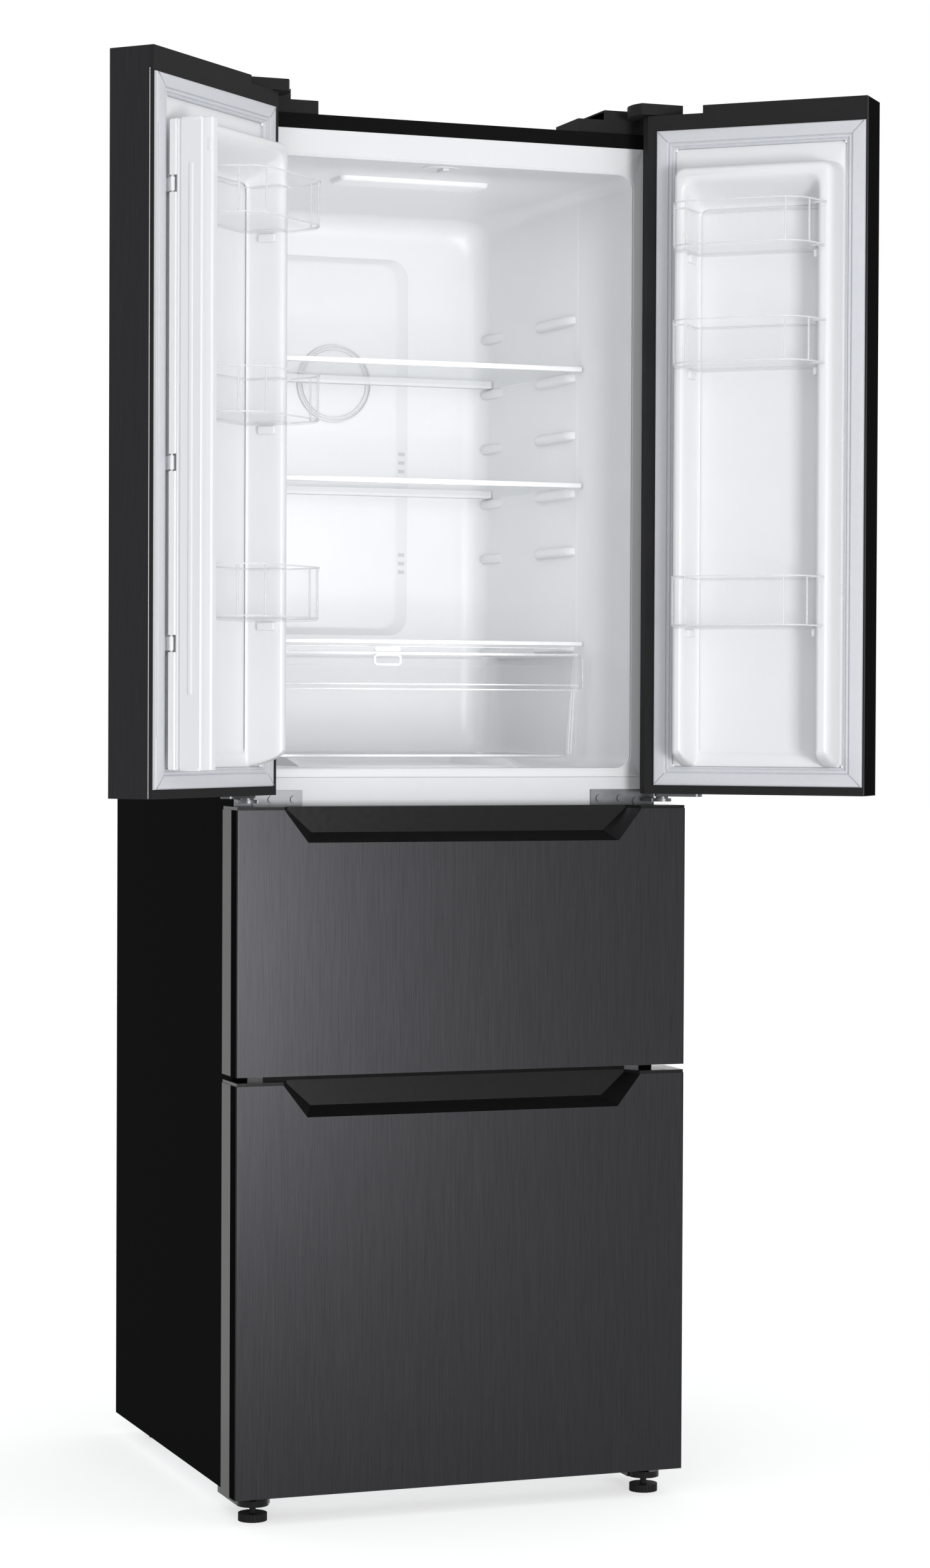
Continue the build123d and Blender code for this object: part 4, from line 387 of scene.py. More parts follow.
# White door liners: a pad inside the seal, a shallow recess, and a raised arch whose rails carry the bins.
# A rail pair is the inner rail's two edges, measured from the fridge's middle. Layers are (inset, depth) and
# blocks are (near, far, front, back, softness).
LEFT_RAIL = (40, 62)
RIGHT_RAIL = (33, 57)
LEFT_BINS = (1571.0, 1341.0, 1105.5)
RIGHT_BINS = (1572.0, 1427.0, 1103.5)
SEAT = -10.0
CREST = 38.0
DYKE_OUTER = 243.0
DYKE_INNER = 222.0
DYKE_LOW = 932.5
DYKE_HIGH = 1683.0
DYKE_FOOT_RISE = 12
RECESS_FOOT = 946.0
RECESS_HIGH = 1665.0
RECESS_MARGIN = 6
HOLLOW_DROP = 24
HOLLOW_HIGH = RECESS_HIGH - 5
TOE_RADIUS = 7
TOE_WIDENING = 1.6
LEAST_TOE = 1.5
CORNER_RADIUS = 18
LEAST_CORNER = 3
HOLLOW_RADIUS = 14
ARCH_STEPS = 6
PAD_RADIUS = 2
RECESS_RADIUS = 16
PAD_LAYERS = ((1, -11.9), (0, -11.5), (0, -10), (24.2, -10), (24.4, -9.0), (25, -8.7))
RECESS_LAYERS = ((-2, -8.7), (-0.6, -8.95), (1.2, -9.8), (3, -10.9), (6, -11.5), (30, -11.5))
ARCH_LAYERS = ((-3.6, -9.6), (-1.6, -8.4), (-0.4, -5.8), (0, -3), (0.7, 6), (1.9, 24), (2.5, 29),
               (3.6, 33.4), (5.2, 36.2), (7.2, 37.6), (8.6, 38))
REST_REACH = 3.5
REST_DEPTHS = (6, 30)
REST_FOOT = 10
REST_GAP = 0.3
REST_SOFT = 1.5
PLUG_INSET = 25.5
PLUG_HALF = 2.2
PLUG_DEPTHS = (-9, -4.6)
PLUG_SOFT = 1.6
FLAP_SLOTS = (1066.0, 1275.0, 1596.0)
KNUCKLE_X = 26.1
KNUCKLE_Y = 5.1
KNUCKLE_LOW = 2
KNUCKLE_HIGH = 18
KNUCKLE_BLOCKS = ((29.2, 37, -11, 2.4, 0.5), (KNUCKLE_X, 31, -0.3, 2.4, 0.3))
KNUCKLE_BARRELS = ((3, KNUCKLE_LOW, KNUCKLE_HIGH), (1.5, -9, 29))


def arch(rail, inset, y):
    """Outline of the arch at one depth, as (across, up) points: two rails joined at their tops."""
    near, recess = rail
    rise = (y - SEAT) / (CREST - SEAT)
    foot = DYKE_LOW + DYKE_FOOT_RISE * rise ** 2
    hollow = HOLLOW_HIGH - HOLLOW_DROP * (1 - rise)
    outline = [Vector(point) for point in (
        (near, foot), (recess, foot), (recess, hollow), (DYKE_INNER, hollow), (DYKE_INNER, foot),
        (DYKE_OUTER, foot), (DYKE_OUTER, DYKE_HIGH), (near, DYKE_HIGH))]
    toe = max(LEAST_TOE, TOE_RADIUS - inset)
    wide = toe * TOE_WIDENING
    corner = max(LEAST_CORNER, CORNER_RADIUS - inset)
    inner = HOLLOW_RADIUS + inset
    radii = (wide, toe, inner, inner, toe, wide, corner, corner)
    return soften(inset_outline(outline, inset), radii, ARCH_STEPS)


def arch_loops(side, rail, layers):
    return [[(side * x, y, z) for x, z in arch(rail, inset, y)] for inset, y in layers]


def door_liner(side, rail, bins, knuckles):
    recess = rail[1]

    def build(mesh):
        plate = upright(side * SEAL_FREE, side * SEAL_OUT, SEAL_LOW, SEAL_HIGH, PAD_RADIUS, PAD_LAYERS)
        plate += upright(side * (recess - RECESS_MARGIN), side * (DYKE_INNER + RECESS_MARGIN), RECESS_FOOT,
                         RECESS_HIGH + RECESS_MARGIN, RECESS_RADIUS, RECESS_LAYERS)
        join_loops(mesh, plate, True, True)
        join_loops(mesh, arch_loops(side, rail, ARCH_LAYERS), True, True)
        for z in bins:
            for wall in (recess, DYKE_INNER):
                brick(mesh, side * (wall - REST_REACH), side * (wall + REST_REACH), *REST_DEPTHS,
                      z - REST_FOOT, z - REST_GAP, REST_SOFT)
        for z in (SEAL_LOW + PLUG_INSET, SEAL_HIGH - PLUG_INSET):
            for u in (SEAL_FREE + PLUG_INSET, SEAL_OUT - PLUG_INSET):
                brick(mesh, side * (u - PLUG_HALF), side * (u + PLUG_HALF), *PLUG_DEPTHS, z - PLUG_HALF,
                      z + PLUG_HALF, PLUG_SOFT)
        for z in knuckles:
            for near, far, front, back, soft in KNUCKLE_BLOCKS:
                brick(mesh, side * near, side * far, front, back, z + KNUCKLE_LOW, z + KNUCKLE_HIGH, soft)
            for radius, low, high in KNUCKLE_BARRELS:
                turns = [(radius * cos(pi * k / 8), radius * sin(pi * k / 8)) for k in range(16)]
                ring = [[(side * KNUCKLE_X + across, KNUCKLE_Y + deep, level) for across, deep in turns]
                        for level in (z + low, z + high)]
                join_loops(mesh, ring, True, True)
    return build


FOAM_LOW = 920.1
FOAM_HIGH = 1733.4
FOAM_BLOCKS = ((3.4, 296.6, -66.1, -16.1, 1.0), (3.4, 275.9, -17, -12.1, 0.5))
FOAM_RAIL_LAYERS = ((3, -12.4), (3.5, 10), (6, 26), (8, 28))


def door_core(side, rail):
    """Foam behind the liner, reaching into the hollow rails."""
    def build(mesh):
        for near, far, front, back, soft in FOAM_BLOCKS:
            brick(mesh, side * near, side * far, front, back, FOAM_LOW, FOAM_HIGH, soft)
        join_loops(mesh, arch_loops(side, rail, FOAM_RAIL_LAYERS), True, True)
    return build


piece("left_door_soft_liner", "left_door", liner_white, "left_door_liner",
      door_liner(-1, LEFT_RAIL, LEFT_BINS, FLAP_SLOTS), closed_to_left)
piece("right_door_soft_liner", "right_door", liner_white, "right_door_liner",
      door_liner(1, RIGHT_RAIL, RIGHT_BINS, ()), closed_to_right)
piece("left_door_foam", "left_door", foam, "left_door_core", door_core(-1, LEFT_RAIL), closed_to_left)
piece("right_door_foam", "right_door", foam, "right_door_core", door_core(1, RIGHT_RAIL), closed_to_right)


# Clear door bins: open shells with a rolled rim, a bowed front and rounded corners. The foot's layers are
# (inset, height above the underside), the rim's (inset, height from the top). A bin's far side is measured
# across from the fridge's middle, its near side from the inner rail. Bands are (low, high, outside, inside).
BIN_FOOT = ((5, 0), (1.6, 0.5), (0.3, 2.2), (0, 5))
BIN_RIM = ((0, -7), (-0.5, -5.6), (-0.9, -4), (-0.9, -1.6), (-0.3, -0.2), (1.0, 0))
BIN_TALL = (57.0, 57.0, 64.5)
BIN_BACK = -9
BIN_FRONT = 104.0
BIN_SHOULDER = 38.5
BIN_FRONT_END = 220
BIN_FAR_SIDE = ((220.5, BIN_BACK), (220.5, BIN_SHOULDER), (238, BIN_SHOULDER), (BIN_FRONT_END, BIN_FRONT))
BIN_NEAR_SIDE = ((2, BIN_FRONT), (-16, BIN_SHOULDER), (1.5, BIN_SHOULDER), (1.5, BIN_BACK))
BIN_BOW = 6.0
BIN_BOW_FROM = 60
BIN_MOST_BOW = 9
BIN_CORNERS = (4, 3, 6, 26, 26, 6, 3, 4)
# The rim and foot bands are real moulded edges, painted brighter as the highlight along them.
BIN_RIM_BAND = (-1.6, 0.1, -1.1, 0.9)
BIN_FOOT_BAND = (2.6, 4.4, -0.15, 2.0)
# Upright bars at the bins' rounded front corners: painted highlights, placed at these points of the outline.
BIN_GLINT_POINTS = (18, 22, 25, 29)
BIN_GLINT_INSET = 0.8
BIN_GLINT_HALF = 1.1
BIN_GLINT_FOOT = 4
BIN_GLINT_DROP = 1.5
BIN_GLINT_SOFT = 0.4


def bin_loop(side, near, inset, z):
    """A door bin's outline: hooks behind the rails, slanted ends and a bowed front."""
    outer = [Vector(point) for point in BIN_FAR_SIDE]
    outer += [Vector((near + x, y)) for x, y in BIN_NEAR_SIDE]
    middle, half = (near + DYKE_INNER) / 2, (BIN_FRONT_END - near) / 2
    loop = []
    for point in soften(inset_outline(outer, inset), BIN_CORNERS):
        forward = max(0, (point.y - BIN_BOW_FROM) / (BIN_FRONT - BIN_BOW_FROM))
        bow = BIN_BOW * ((point.x - middle) / half) ** 2 * forward
        loop.append((side * point.x, point.y - min(bow, BIN_MOST_BOW), z))
    return loop


def all_bins(side, near, bottoms):
    def build(mesh):
        for bottom, tall in zip(bottoms, BIN_TALL):
            layers = [(inset, bottom + rise) for inset, rise in BIN_FOOT]
            layers += [(inset, bottom + tall + drop) for inset, drop in BIN_RIM]
            join_loops(mesh, [bin_loop(side, near, inset, z) for inset, z in layers], True)
    return build


def bin_edge_highlights(side, near, bottoms):
    """The bins' moulded rim and foot line on one door, painted bright as the highlight along them, and
    upright bars at their rounded corners that are painted highlights.
    """
    def build(mesh):
        for bottom, tall in zip(bottoms, BIN_TALL):
            top = bottom + tall
            for level, (low, high, out, into) in ((top, BIN_RIM_BAND), (bottom, BIN_FOOT_BAND)):
                band = ((out, level + low), (out, level + high), (into, level + high), (into, level + low))
                join_loops(mesh, [bin_loop(side, near, inset, z) for inset, z in band], around=True)
            line = bin_loop(side, near, BIN_GLINT_INSET, 0)
            for x, y, _ in [line[index] for index in BIN_GLINT_POINTS]:
                brick(mesh, x - BIN_GLINT_HALF, x + BIN_GLINT_HALF, y - BIN_GLINT_HALF, y + BIN_GLINT_HALF,
                      bottom + BIN_GLINT_FOOT, top - BIN_GLINT_DROP, BIN_GLINT_SOFT)
    return build


for name, side, near, bottoms, place in (("left_door", -1, LEFT_RAIL[1], LEFT_BINS, closed_to_left),
                                         ("right_door", 1, RIGHT_RAIL[1], RIGHT_BINS, closed_to_right)):
    piece(name + "_clear_bins", name, clear, name + "_bins", all_bins(side, near, bottoms), place, smooth=50)
    piece(name + "_bin_edge_highlights", name, clear_edge_highlight, name + "_bins", bin_edge_highlights(side, near, bottoms), place,
          smooth=50)


# Folding flap: near rib, groove, raised panel with an embossed bar, and the far post, cut out round its
# knuckles. Its outlines are (depth, across) points.
FLAP_LOW = 929.5
FLAP_HIGH = 1680.5
FLAP_SOFT = 1.2
FLAP_MIDDLE_X = -30
FLAP_MIDDLE_Y = 31
KNUCKLE_SLOT = 20
FLAP_FULL = ((3, -38), (3, -33.6), (3, -22.8), (3.8, -22), (11.2, -22), (12, -22.8), (12, -23.8),
             (13.4, -23.8), (13.8, -23.3), (14.6, -23.3), (15, -23.8), (18, -23.8), (18.2, -22.8),
             (19.2, -22), (45.8, -22), (46.8, -22.8), (47, -23.9), (52, -23.9), (54, -24.4), (57.5, -25),
             (59.5, -27.5), (59.5, -35.5), (57, -38))
FLAP_CUT = ((3, -38), (3, -33.6), (12.2, -33.6), (12.3, -32), (12.4, -30), (12.5, -26),
            (12.6, -23.8)) + FLAP_FULL[7:]
BAR_LAYERS = ((0, -22.3), (0, -21.6), (-0.8, -21.1), (-2, -21.0))
BAR_LOW = 1016
BAR_HIGH = 1629
BAR_EDGES = (29.6, 35.4)
BAR_RADIUS = 2.8
FLAP_TABS = ((-35, -21.4, 19, 46, FLAP_LOW - 0.9, FLAP_LOW + 3, 1.2),
             (-35, -21.4, 19, 46, FLAP_HIGH - 3, FLAP_HIGH + 0.8, 1.2))
FLAP_CATCH = (-30, -24, 50, 59, FLAP_HIGH - 40, FLAP_HIGH - 26, 1.5)


def flap(mesh):
    levels = [(FLAP_LOW, FLAP_FULL, FLAP_SOFT), (FLAP_LOW + FLAP_SOFT, FLAP_FULL, 0)]
    for low in FLAP_SLOTS:
        high = low + KNUCKLE_SLOT
        levels += [(low, FLAP_FULL, 0), (low, FLAP_CUT, 0), (high, FLAP_CUT, 0), (high, FLAP_FULL, 0)]
    levels += [(FLAP_HIGH - FLAP_SOFT, FLAP_FULL, 0), (FLAP_HIGH, FLAP_FULL, FLAP_SOFT)]
    loops = []
    for z, outline, inset in levels:
        loops.append([(x + (inset if x < FLAP_MIDDLE_X else -inset),
                       y + (inset if y < FLAP_MIDDLE_Y else -inset), z) for y, x in outline])
    join_loops(mesh, loops, True, True)


def flap_bar(mesh):
    """The embossed bar on the panel, the tabs at both ends and the catch near the top."""
    near, far = BAR_EDGES
    loops = []
    for grow, x in BAR_LAYERS:
        outline = rounded(near - grow, far + grow, BAR_LOW - grow, BAR_HIGH + grow, BAR_RADIUS)
        loops.append([(x, y, z) for y, z in outline])
    join_loops(mesh, loops, True, True)
    for box in (*FLAP_TABS, FLAP_CATCH):
        brick(mesh, *box)


piece("centre_flap_moulded", "centre_flap", liner_white, "centre_flap", flap, closed_to_left, smooth=28)
piece("centre_flap_bars", "centre_flap", liner_white, "centre_flap", flap_bar, closed_to_left)


# Fridge liner: front flange, rounded lip, tapering walls with a shallow step, and a softly rounded back.
# The lip's layers are (growth over the opening, depth, corner radius), the wall's (depth, inset).
LIP_LAYERS = ((3.2, 0, 21), (2.8, 0.7, 21), (1.8, 0.7, 20), (1.0, 0.1, 19), (0.3, 0.6, 18.5), (0, 2.5, 18))
WALL_LAYERS = ((20, 0), (158, 0), (160, 0.3), (162, 1.1), (164, 1.3), (300, 1.3), (449, 1.3), (457, 2.2),
               (464, 4.6), (470, 8.6), (474.5, 13.4), (477.6, 19.4), (479.3, 26), (480, 33))
WALL_RADIUS = 18
BACK_RADIUS_GROWTH = 16
BACK_ROUND_FROM = 300
BACK_FROM = 400
FLANGE_SOFT = 0.2
FLANGE_DEPTH = 2
FLANGE_RADIUS = 0.1
BOX_STEPS = 8


def wall_at(y):
    """Half the width between the tapering side walls at a depth."""
    return OPENING_HALF + (BACK_HALF - OPENING_HALF) * y / FRIDGE_BACK


def box_loop(half, low, high, y, radius):
    return [(x, y, z) for x, z in rounded(-half, half, low, high, radius, BOX_STEPS)]


def fridge_box(mesh):
    loops = [box_loop(FLANGE_HALF, SEAM, FLANGE_TOP, y, FLANGE_RADIUS) for y in (FLANGE_DEPTH, FLANGE_SOFT)]
    loops.append(box_loop(FLANGE_HALF - FLANGE_SOFT, SEAM + FLANGE_SOFT, FLANGE_TOP - FLANGE_SOFT, 0,
                          FLANGE_RADIUS))
    for grow, y, radius in LIP_LAYERS:
        loops.append(box_loop(OPENING_HALF + grow, FRIDGE_FLOOR - grow, CEILING + grow, y, radius))
    for y, inset in WALL_LAYERS:
        at_back = inset * (y > BACK_FROM)
        toward_back = max(0, (y - BACK_ROUND_FROM) / (FRIDGE_BACK - BACK_ROUND_FROM))
        radius = WALL_RADIUS + BACK_RADIUS_GROWTH * toward_back
        loops.append(box_loop(wall_at(y) - inset, FRIDGE_FLOOR + at_back, CEILING - at_back, y, radius))
    join_loops(mesh, loops, False, True)


# Shelf supports on both side walls, as (top, height), each in two runs of (front, back, reach at the front,
# reach at the back), and the two ramps on the floor, whose points are (depth, rise)
LEDGES = ((1219.5, 14), (1296, 14), (1372.5, 14), (1449, 14), (1525.5, 14), (1087.3, 9))
LEDGE_PARTS = (0, 0.012, 0.04, 0.09, 0.16, 0.5, 0.84, 0.91, 0.96, 0.988, 1)
LEDGE_END = 12
LEDGE_POWER = 0.45
LEDGE_SUNK = 1
LEDGE_ROOT = 2
LEDGE_END_HEIGHT = 0.55
LEDGE_HEIGHT_GAIN = 0.45
LEDGE_ARC = 8
LEDGE_RUNS = ((166, 289, 11, 11), (405, 474, 3, 11))
RAMP_X = 150
RAMP_SUNK = 1
RAMP_FOOT_HALF = 6
RAMP_TOP_HALF = 5
RAMP_POINTS = ((132, 0.2), (190, 10.8), (386, 10.8), (390, 0.2))


def ledge(mesh, side, top, height, y0, y1, reach0, reach1):
    """A moulded shelf support on a side wall: half round in section, its ends rounded off."""
    loops = []
    length = y1 - y0
    middle = top - height / 2
    for part in LEDGE_PARTS:
        y = y0 + length * part
        swell = min(1, min(part, 1 - part) * length / LEDGE_END) ** LEDGE_POWER
        reach = (reach0 + (reach1 - reach0) * part) * swell
        wall = wall_at(y) + LEDGE_SUNK
        tall = height / 2 * (LEDGE_END_HEIGHT + LEDGE_HEIGHT_GAIN * swell)
        loop = [(side * (wall + LEDGE_ROOT), y, middle - tall)]
        for step in range(LEDGE_ARC + 1):
            angle = -pi / 2 + pi * step / LEDGE_ARC
            across = max(0, cos(angle)) ** LEDGE_POWER * (reach + LEDGE_SUNK)
            loop.append((side * (wall - across), y, middle + tall * sin(angle)))
        loop.append((side * (wall + LEDGE_ROOT), y, middle + tall))
        loops.append(loop)
    join_loops(mesh, loops, True, True)


def ledges(mesh):
    for top, height in LEDGES:
        for side in (-1, 1):
            for run in LEDGE_RUNS:
                ledge(mesh, side, top, height, *run)
    for x in (-RAMP_X, RAMP_X):
        ramp = [[(x - RAMP_FOOT_HALF, y, FRIDGE_FLOOR - RAMP_SUNK),
                 (x + RAMP_FOOT_HALF, y, FRIDGE_FLOOR - RAMP_SUNK),
                 (x + RAMP_TOP_HALF, y, FRIDGE_FLOOR + rise),
                 (x - RAMP_TOP_HALF, y, FRIDGE_FLOOR + rise)] for y, rise in RAMP_POINTS]
        join_loops(mesh, ramp, True, True)


piece("fridge_box_liner", "cabinet", liner_white, "fridge_liner", fridge_box, smooth=40)
piece("fridge_liner_ledges", "cabinet", liner_white, "fridge_liner", ledges, smooth=50)


# Glass shelves with soft trims, and the crisper's lid. SHELVES gives the underside of each shelf's glass, and
# trims and plates are (front, back, low, high), a shelf's measured up from that underside.
SHELVES = (("upper_shelf", 1449.3), ("lower_shelf", 1296.3))
TRIM_GAP = 3.0
FRONT_TRIM = (142, 156, -1.6, 5.2)
REAR_TRIM = (441, 455, 0, 11)
SHELF_GLASS = (145, 452, 0, 4)
LID_GLASS = (141, 455, 1087.6, 1091.6)
LID_GLASS_GAP = 3.2
LID_FRONT = (138, 142, 1086.6, 1091.8)
LID_FRONT_SOFT = 0.8
LID_LIPS = ((1082.6, 1083.8, 138.4), (1084.8, 1085.5, 139.4), (1083.6, 1084.3, 148))
LID_LIP_HALF = 225
LID_LIP_THICK = 1.6
LID_LIP_SOFT = 0.2


def between_walls(mesh, y0, y1, gap, layers):
    """A plate that follows the tapering walls, each layer drawn in by an inset at its own height."""
    loops = []
    for inset, z in layers:
        a, b = y0 + inset, y1 - inset
        wa, wb = wall_at(a) - gap - inset, wall_at(b) - gap - inset
        loops.append([(-wa, a, z), (wa, a, z), (wb, b, z), (-wb, b, z)])
    join_loops(mesh, loops, True, True)


def trim(mesh, y0, y1, low, high, soft=1.6):
    part = soft * SOFT_PART
    between_walls(mesh, y0, y1, TRIM_GAP, ((soft, low), (part, low + part), (0, low + soft),
                                           (0, high - soft), (part, high - part), (soft, high)))


def glass_plate(y0, y1, low, high, gap=4.0, soft=0.4):
    def build(mesh):
        between_walls(mesh, y0, y1, gap, ((soft, low), (0, low + soft), (0, high - soft), (soft, high)))
    return build


for name, low in SHELVES:
    def both_trims(mesh, low=low):
        for front, back, foot, top in (FRONT_TRIM, REAR_TRIM):
            trim(mesh, front, back, low + foot, low + top)
    piece(name + "_soft_trims", name, shelf_white, name + "_trims", both_trims, smooth=30)
    front, back, foot, top = SHELF_GLASS
    plate = glass_plate(front, back, low + foot, low + top)
    piece(name + "_clear_glass", name, glass, name + "_glass", plate)


def lid_front(mesh):
    trim(mesh, *LID_FRONT, LID_FRONT_SOFT)


def lid_lip(mesh):
    """The clear lip under the lid's front edge, with its fine moulded lines, painted brighter than clear
    plastic as the highlight along them.
    """
    for low, high, y in LID_LIPS:
        brick(mesh, -LID_LIP_HALF, LID_LIP_HALF, y, y + LID_LIP_THICK, low, high, LID_LIP_SOFT)


piece("crisper_lid_glass", "cabinet", glass, "crisper_lid", glass_plate(*LID_GLASS, LID_GLASS_GAP))
piece("crisper_lid_front", "cabinet", shelf_white, "crisper_lid", lid_front)
piece("crisper_lid_lip", "cabinet", clear_edge_highlight, "crisper_lid", lid_lip)


# Crisper: an open tray with a face band, rims painted bright as the highlight along them, and a latch. Layers
# are (inset, height) for the tray and (inset, depth) for the face and the latch. Rim bands are (low, high,
# outer inset, inner inset) and face lines (low, high, back, softness).
CRISPER_HALF = 223
CRISPER_FRONT = 120
CRISPER_BACK = 430
CRISPER_LOW = 939.3
CRISPER_HIGH = 1075.0
CRISPER_RADIUS = 16
CRISPER_LAYERS = ((13, CRISPER_LOW), (9.6, CRISPER_LOW + 0.6), (8.4, CRISPER_LOW + 3), (8, CRISPER_LOW + 8),
                  (0.6, CRISPER_HIGH - 8), (-0.8, CRISPER_HIGH - 5), (-1, CRISPER_HIGH - 1),
                  (0, CRISPER_HIGH), (2, CRISPER_HIGH))
CRISPER_DEEPENING = 0.7
FACE_OUTLINE = (-229, 229, 1027, 1075, 9)
FACE_RECESS_OUTLINE = (-205, 205, 1036, 1059, 10)
FACE_LAYERS = ((0, 126), (0, 114.5), (0.8, 112.8), (2.5, 112), (4.4, 112), (5.0, 112.8), (5.8, 112.8),
               (6.4, 112))
FACE_RECESS_LAYERS = ((-1, 112), (0, 112.6), (0.6, 116), (1.2, 119.5), (3, 120.8), (6, 121))
RIM_BANDS = ((940.6, 943.4, 7.8, 10.6), (1072.2, 1075.2, -1.2, 2.2))
FACE_LINES = ((1027.0, 1028.8, 113.2, 0.4), (1033.5, 1035.3, 113.2, 0.4), (1073, 1075.4, 113.4, 0.5))
FACE_LINE_HALF = 222
FACE_LINE_FRONT = 111.6
FACE_ENDS = ((-229.3, -227.5, 112.2, 116, 1032, 1070, 0.4),
             (227.5, 229.3, 112.2, 116, 1032, 1070, 0.4))
# Upright lines at the crisper's rounded front corners: painted highlights.
CORNER_LINES = ((215, 217), (211.6, 213.2))
CORNER_LEAN = ((944, -0.6), (1030, 4.4))
CORNER_DEPTHS = (121.4, 123.4)
LATCH_RINGS = ((-61, -23, 1058, 1073, 6), (-59, -25, 1076.5, 1082, 2))
LATCH_LAYERS = ((0, 118), (0, 112.9), (0.5, 112.2), (1.2, 111.9), (2.0, 112.2), (2.5, 112.9), (2.5, 118))


def crisper_loop(inset, z):
    return [(x, y, z) for x, y in rounded(-CRISPER_HALF + inset, CRISPER_HALF - inset,
                                          CRISPER_FRONT + inset * CRISPER_DEEPENING,
                                          CRISPER_BACK - inset * CRISPER_DEEPENING, CRISPER_RADIUS)]


def crisper(mesh):
    join_loops(mesh, [crisper_loop(inset, z) for inset, z in CRISPER_LAYERS], True)


def crisper_face(mesh):
    loops = upright(*FACE_OUTLINE, FACE_LAYERS) + upright(*FACE_RECESS_OUTLINE, FACE_RECESS_LAYERS)
    join_loops(mesh, loops, False, True)


def crisper_edge_highlights(mesh):
    """The crisper's rims round its foot and top and the lines along its face band, painted bright as the
    highlight along these real edges, and upright lines at its front corners that are painted highlights.
    """
    for low, high, outer, inner in RIM_BANDS:
        band = ((outer, low), (outer, high), (inner, high), (inner, low))
        join_loops(mesh, [crisper_loop(inset, z) for inset, z in band], around=True)
    for low, high, back, soft in FACE_LINES:
        brick(mesh, -FACE_LINE_HALF, FACE_LINE_HALF, FACE_LINE_FRONT, back, low, high, soft)
    for box in FACE_ENDS:
        brick(mesh, *box)
    front, back = CORNER_DEPTHS
    for side in (-1, 1):
        for near, far in CORNER_LINES:
            corner = [[(side * (near + lean), front, z), (side * (far + lean), front, z),
                       (side * (far + lean), back, z), (side * (near + lean), back, z)]
                      for z, lean in CORNER_LEAN]
            join_loops(mesh, corner, True, True)


def crisper_latch(mesh):
    for x0, x1, z0, z1, radius in LATCH_RINGS:
        join_loops(mesh, upright(x0, x1, z0, z1, radius, LATCH_LAYERS), around=True)


for name, finish, build, smooth in (("crisper_clear_tray", clear_crisper, crisper, 50),
                                    ("crisper_clear_face", clear_crisper, crisper_face, 50),
                                    ("crisper_bright_edges", clear_edge_highlight, crisper_edge_highlights, 40),
                                    ("crisper_latch", clear_rings, crisper_latch, 50)):
    piece(name, "crisper_drawer", finish, "crisper_drawer", build, smooth=smooth)


# Air duct on the back wall. Its loops are (half width, low, high, depth, radius).
DUCT_LOOPS = ((112, 1105, 1627, 479.7, 26), (110.5, 1106, 1626, 478.9, 26), (94, 1113, 1619, 470.7, 24),
              (92, 1115, 1617, 470, 22), (89, 1118, 1614, 469.7, 20))
SLOT_GROUPS = (1190, 1330)
SLOTS_IN_GROUP = 3
SLOT_PITCH = 12
SLOT_ENDS = ((96, 471.6), (107, 477.1))
SLOT_DEPTHS = (0.3, -0.25)
SLOT_LOW = 0.6
SLOT_HIGH = 5.4


def duct(mesh):
    join_loops(mesh, [box_loop(*loop) for loop in DUCT_LOOPS], True, True)


# The slots are thin pale grey patches on the duct's slanted sides: painted shade where each slot's inside
# would be dark.
def duct_slots(mesh):
    (near, near_y), (far, far_y) = SLOT_ENDS
    for group in SLOT_GROUPS:
        for row in range(SLOTS_IN_GROUP):
            z = group + SLOT_PITCH * row
            low, high = z + SLOT_LOW, z + SLOT_HIGH
            for side in (-1, 1):
                loops = [[(side * near, near_y + y, low), (side * far, far_y + y, low),
                          (side * far, far_y + y, high), (side * near, near_y + y, high)]
                         for y in SLOT_DEPTHS]
                join_loops(mesh, loops, True, True)


piece("fridge_duct_panel", "cabinet", liner_white, "fridge_air_duct", duct, smooth=50)
piece("fridge_duct_slots", "cabinet", painted_slot_shade, "fridge_air_duct", duct_slots)


# Round cover on the duct, light cover and flap guide on the ceiling. The round cover's profile is
# (radius, depth), the layers of the other two are (inset, height).
COVER_CENTRE = (0, 1451)
COVER_PROFILE = ((54, 469.9), (54, 467.2), (53.5, 465.8), (52.2, 465), (50.4, 464.9), (49.4, 465.9),
                 (47.8, 466.2), (46.9, 465.3), (45.4, 464.9), (44.2, 465.7), (43.4, 467.6), (41, 468.2),
                 (4, 468.2))
COVER_RINGS = ((53.6, 51.8), (46.8, 45.9), (50.0, 49.6))
COVER_RING_DEPTHS = (466.5, 464.7)
COVER_RING_SOFT = 0.3
COVER_POINTS = 64
LIGHT_OUTLINE = (-102, 102, 130, 183, 8)
LIGHT_LAYERS = ((0, 1686), (0.3, 1684.5), (1.6, 1681.4), (2.8, 1680.4), (4.5, 1680.1))
GUIDE_LAYERS = ((0, 1686), (0, 1685.2), (0.5, 1684.7), (1.4, 1684.5))
GUIDE_HALVES = (26, 17)
GUIDE_POINTS = 48
GUIDE_Y = 31
GUIDE_BLOCK = (-3.5, 5.5, 19, 43, 1681.6, 1685.2, 1.2)


def lathe(mesh, profile, hollow=False):
    """Turns (radius, depth) points about the cover's axis, as a disc or as a hollow ring."""
    x, z = COVER_CENTRE
    turns = [2 * pi * k / COVER_POINTS for k in range(COVER_POINTS)]
    loops = [[(x + radius * cos(turn), y, z + radius * sin(turn)) for turn in turns] for radius, y in profile]
    join_loops(mesh, loops, not hollow, not hollow, around=hollow)


def round_cover(mesh):
    lathe(mesh, COVER_PROFILE)


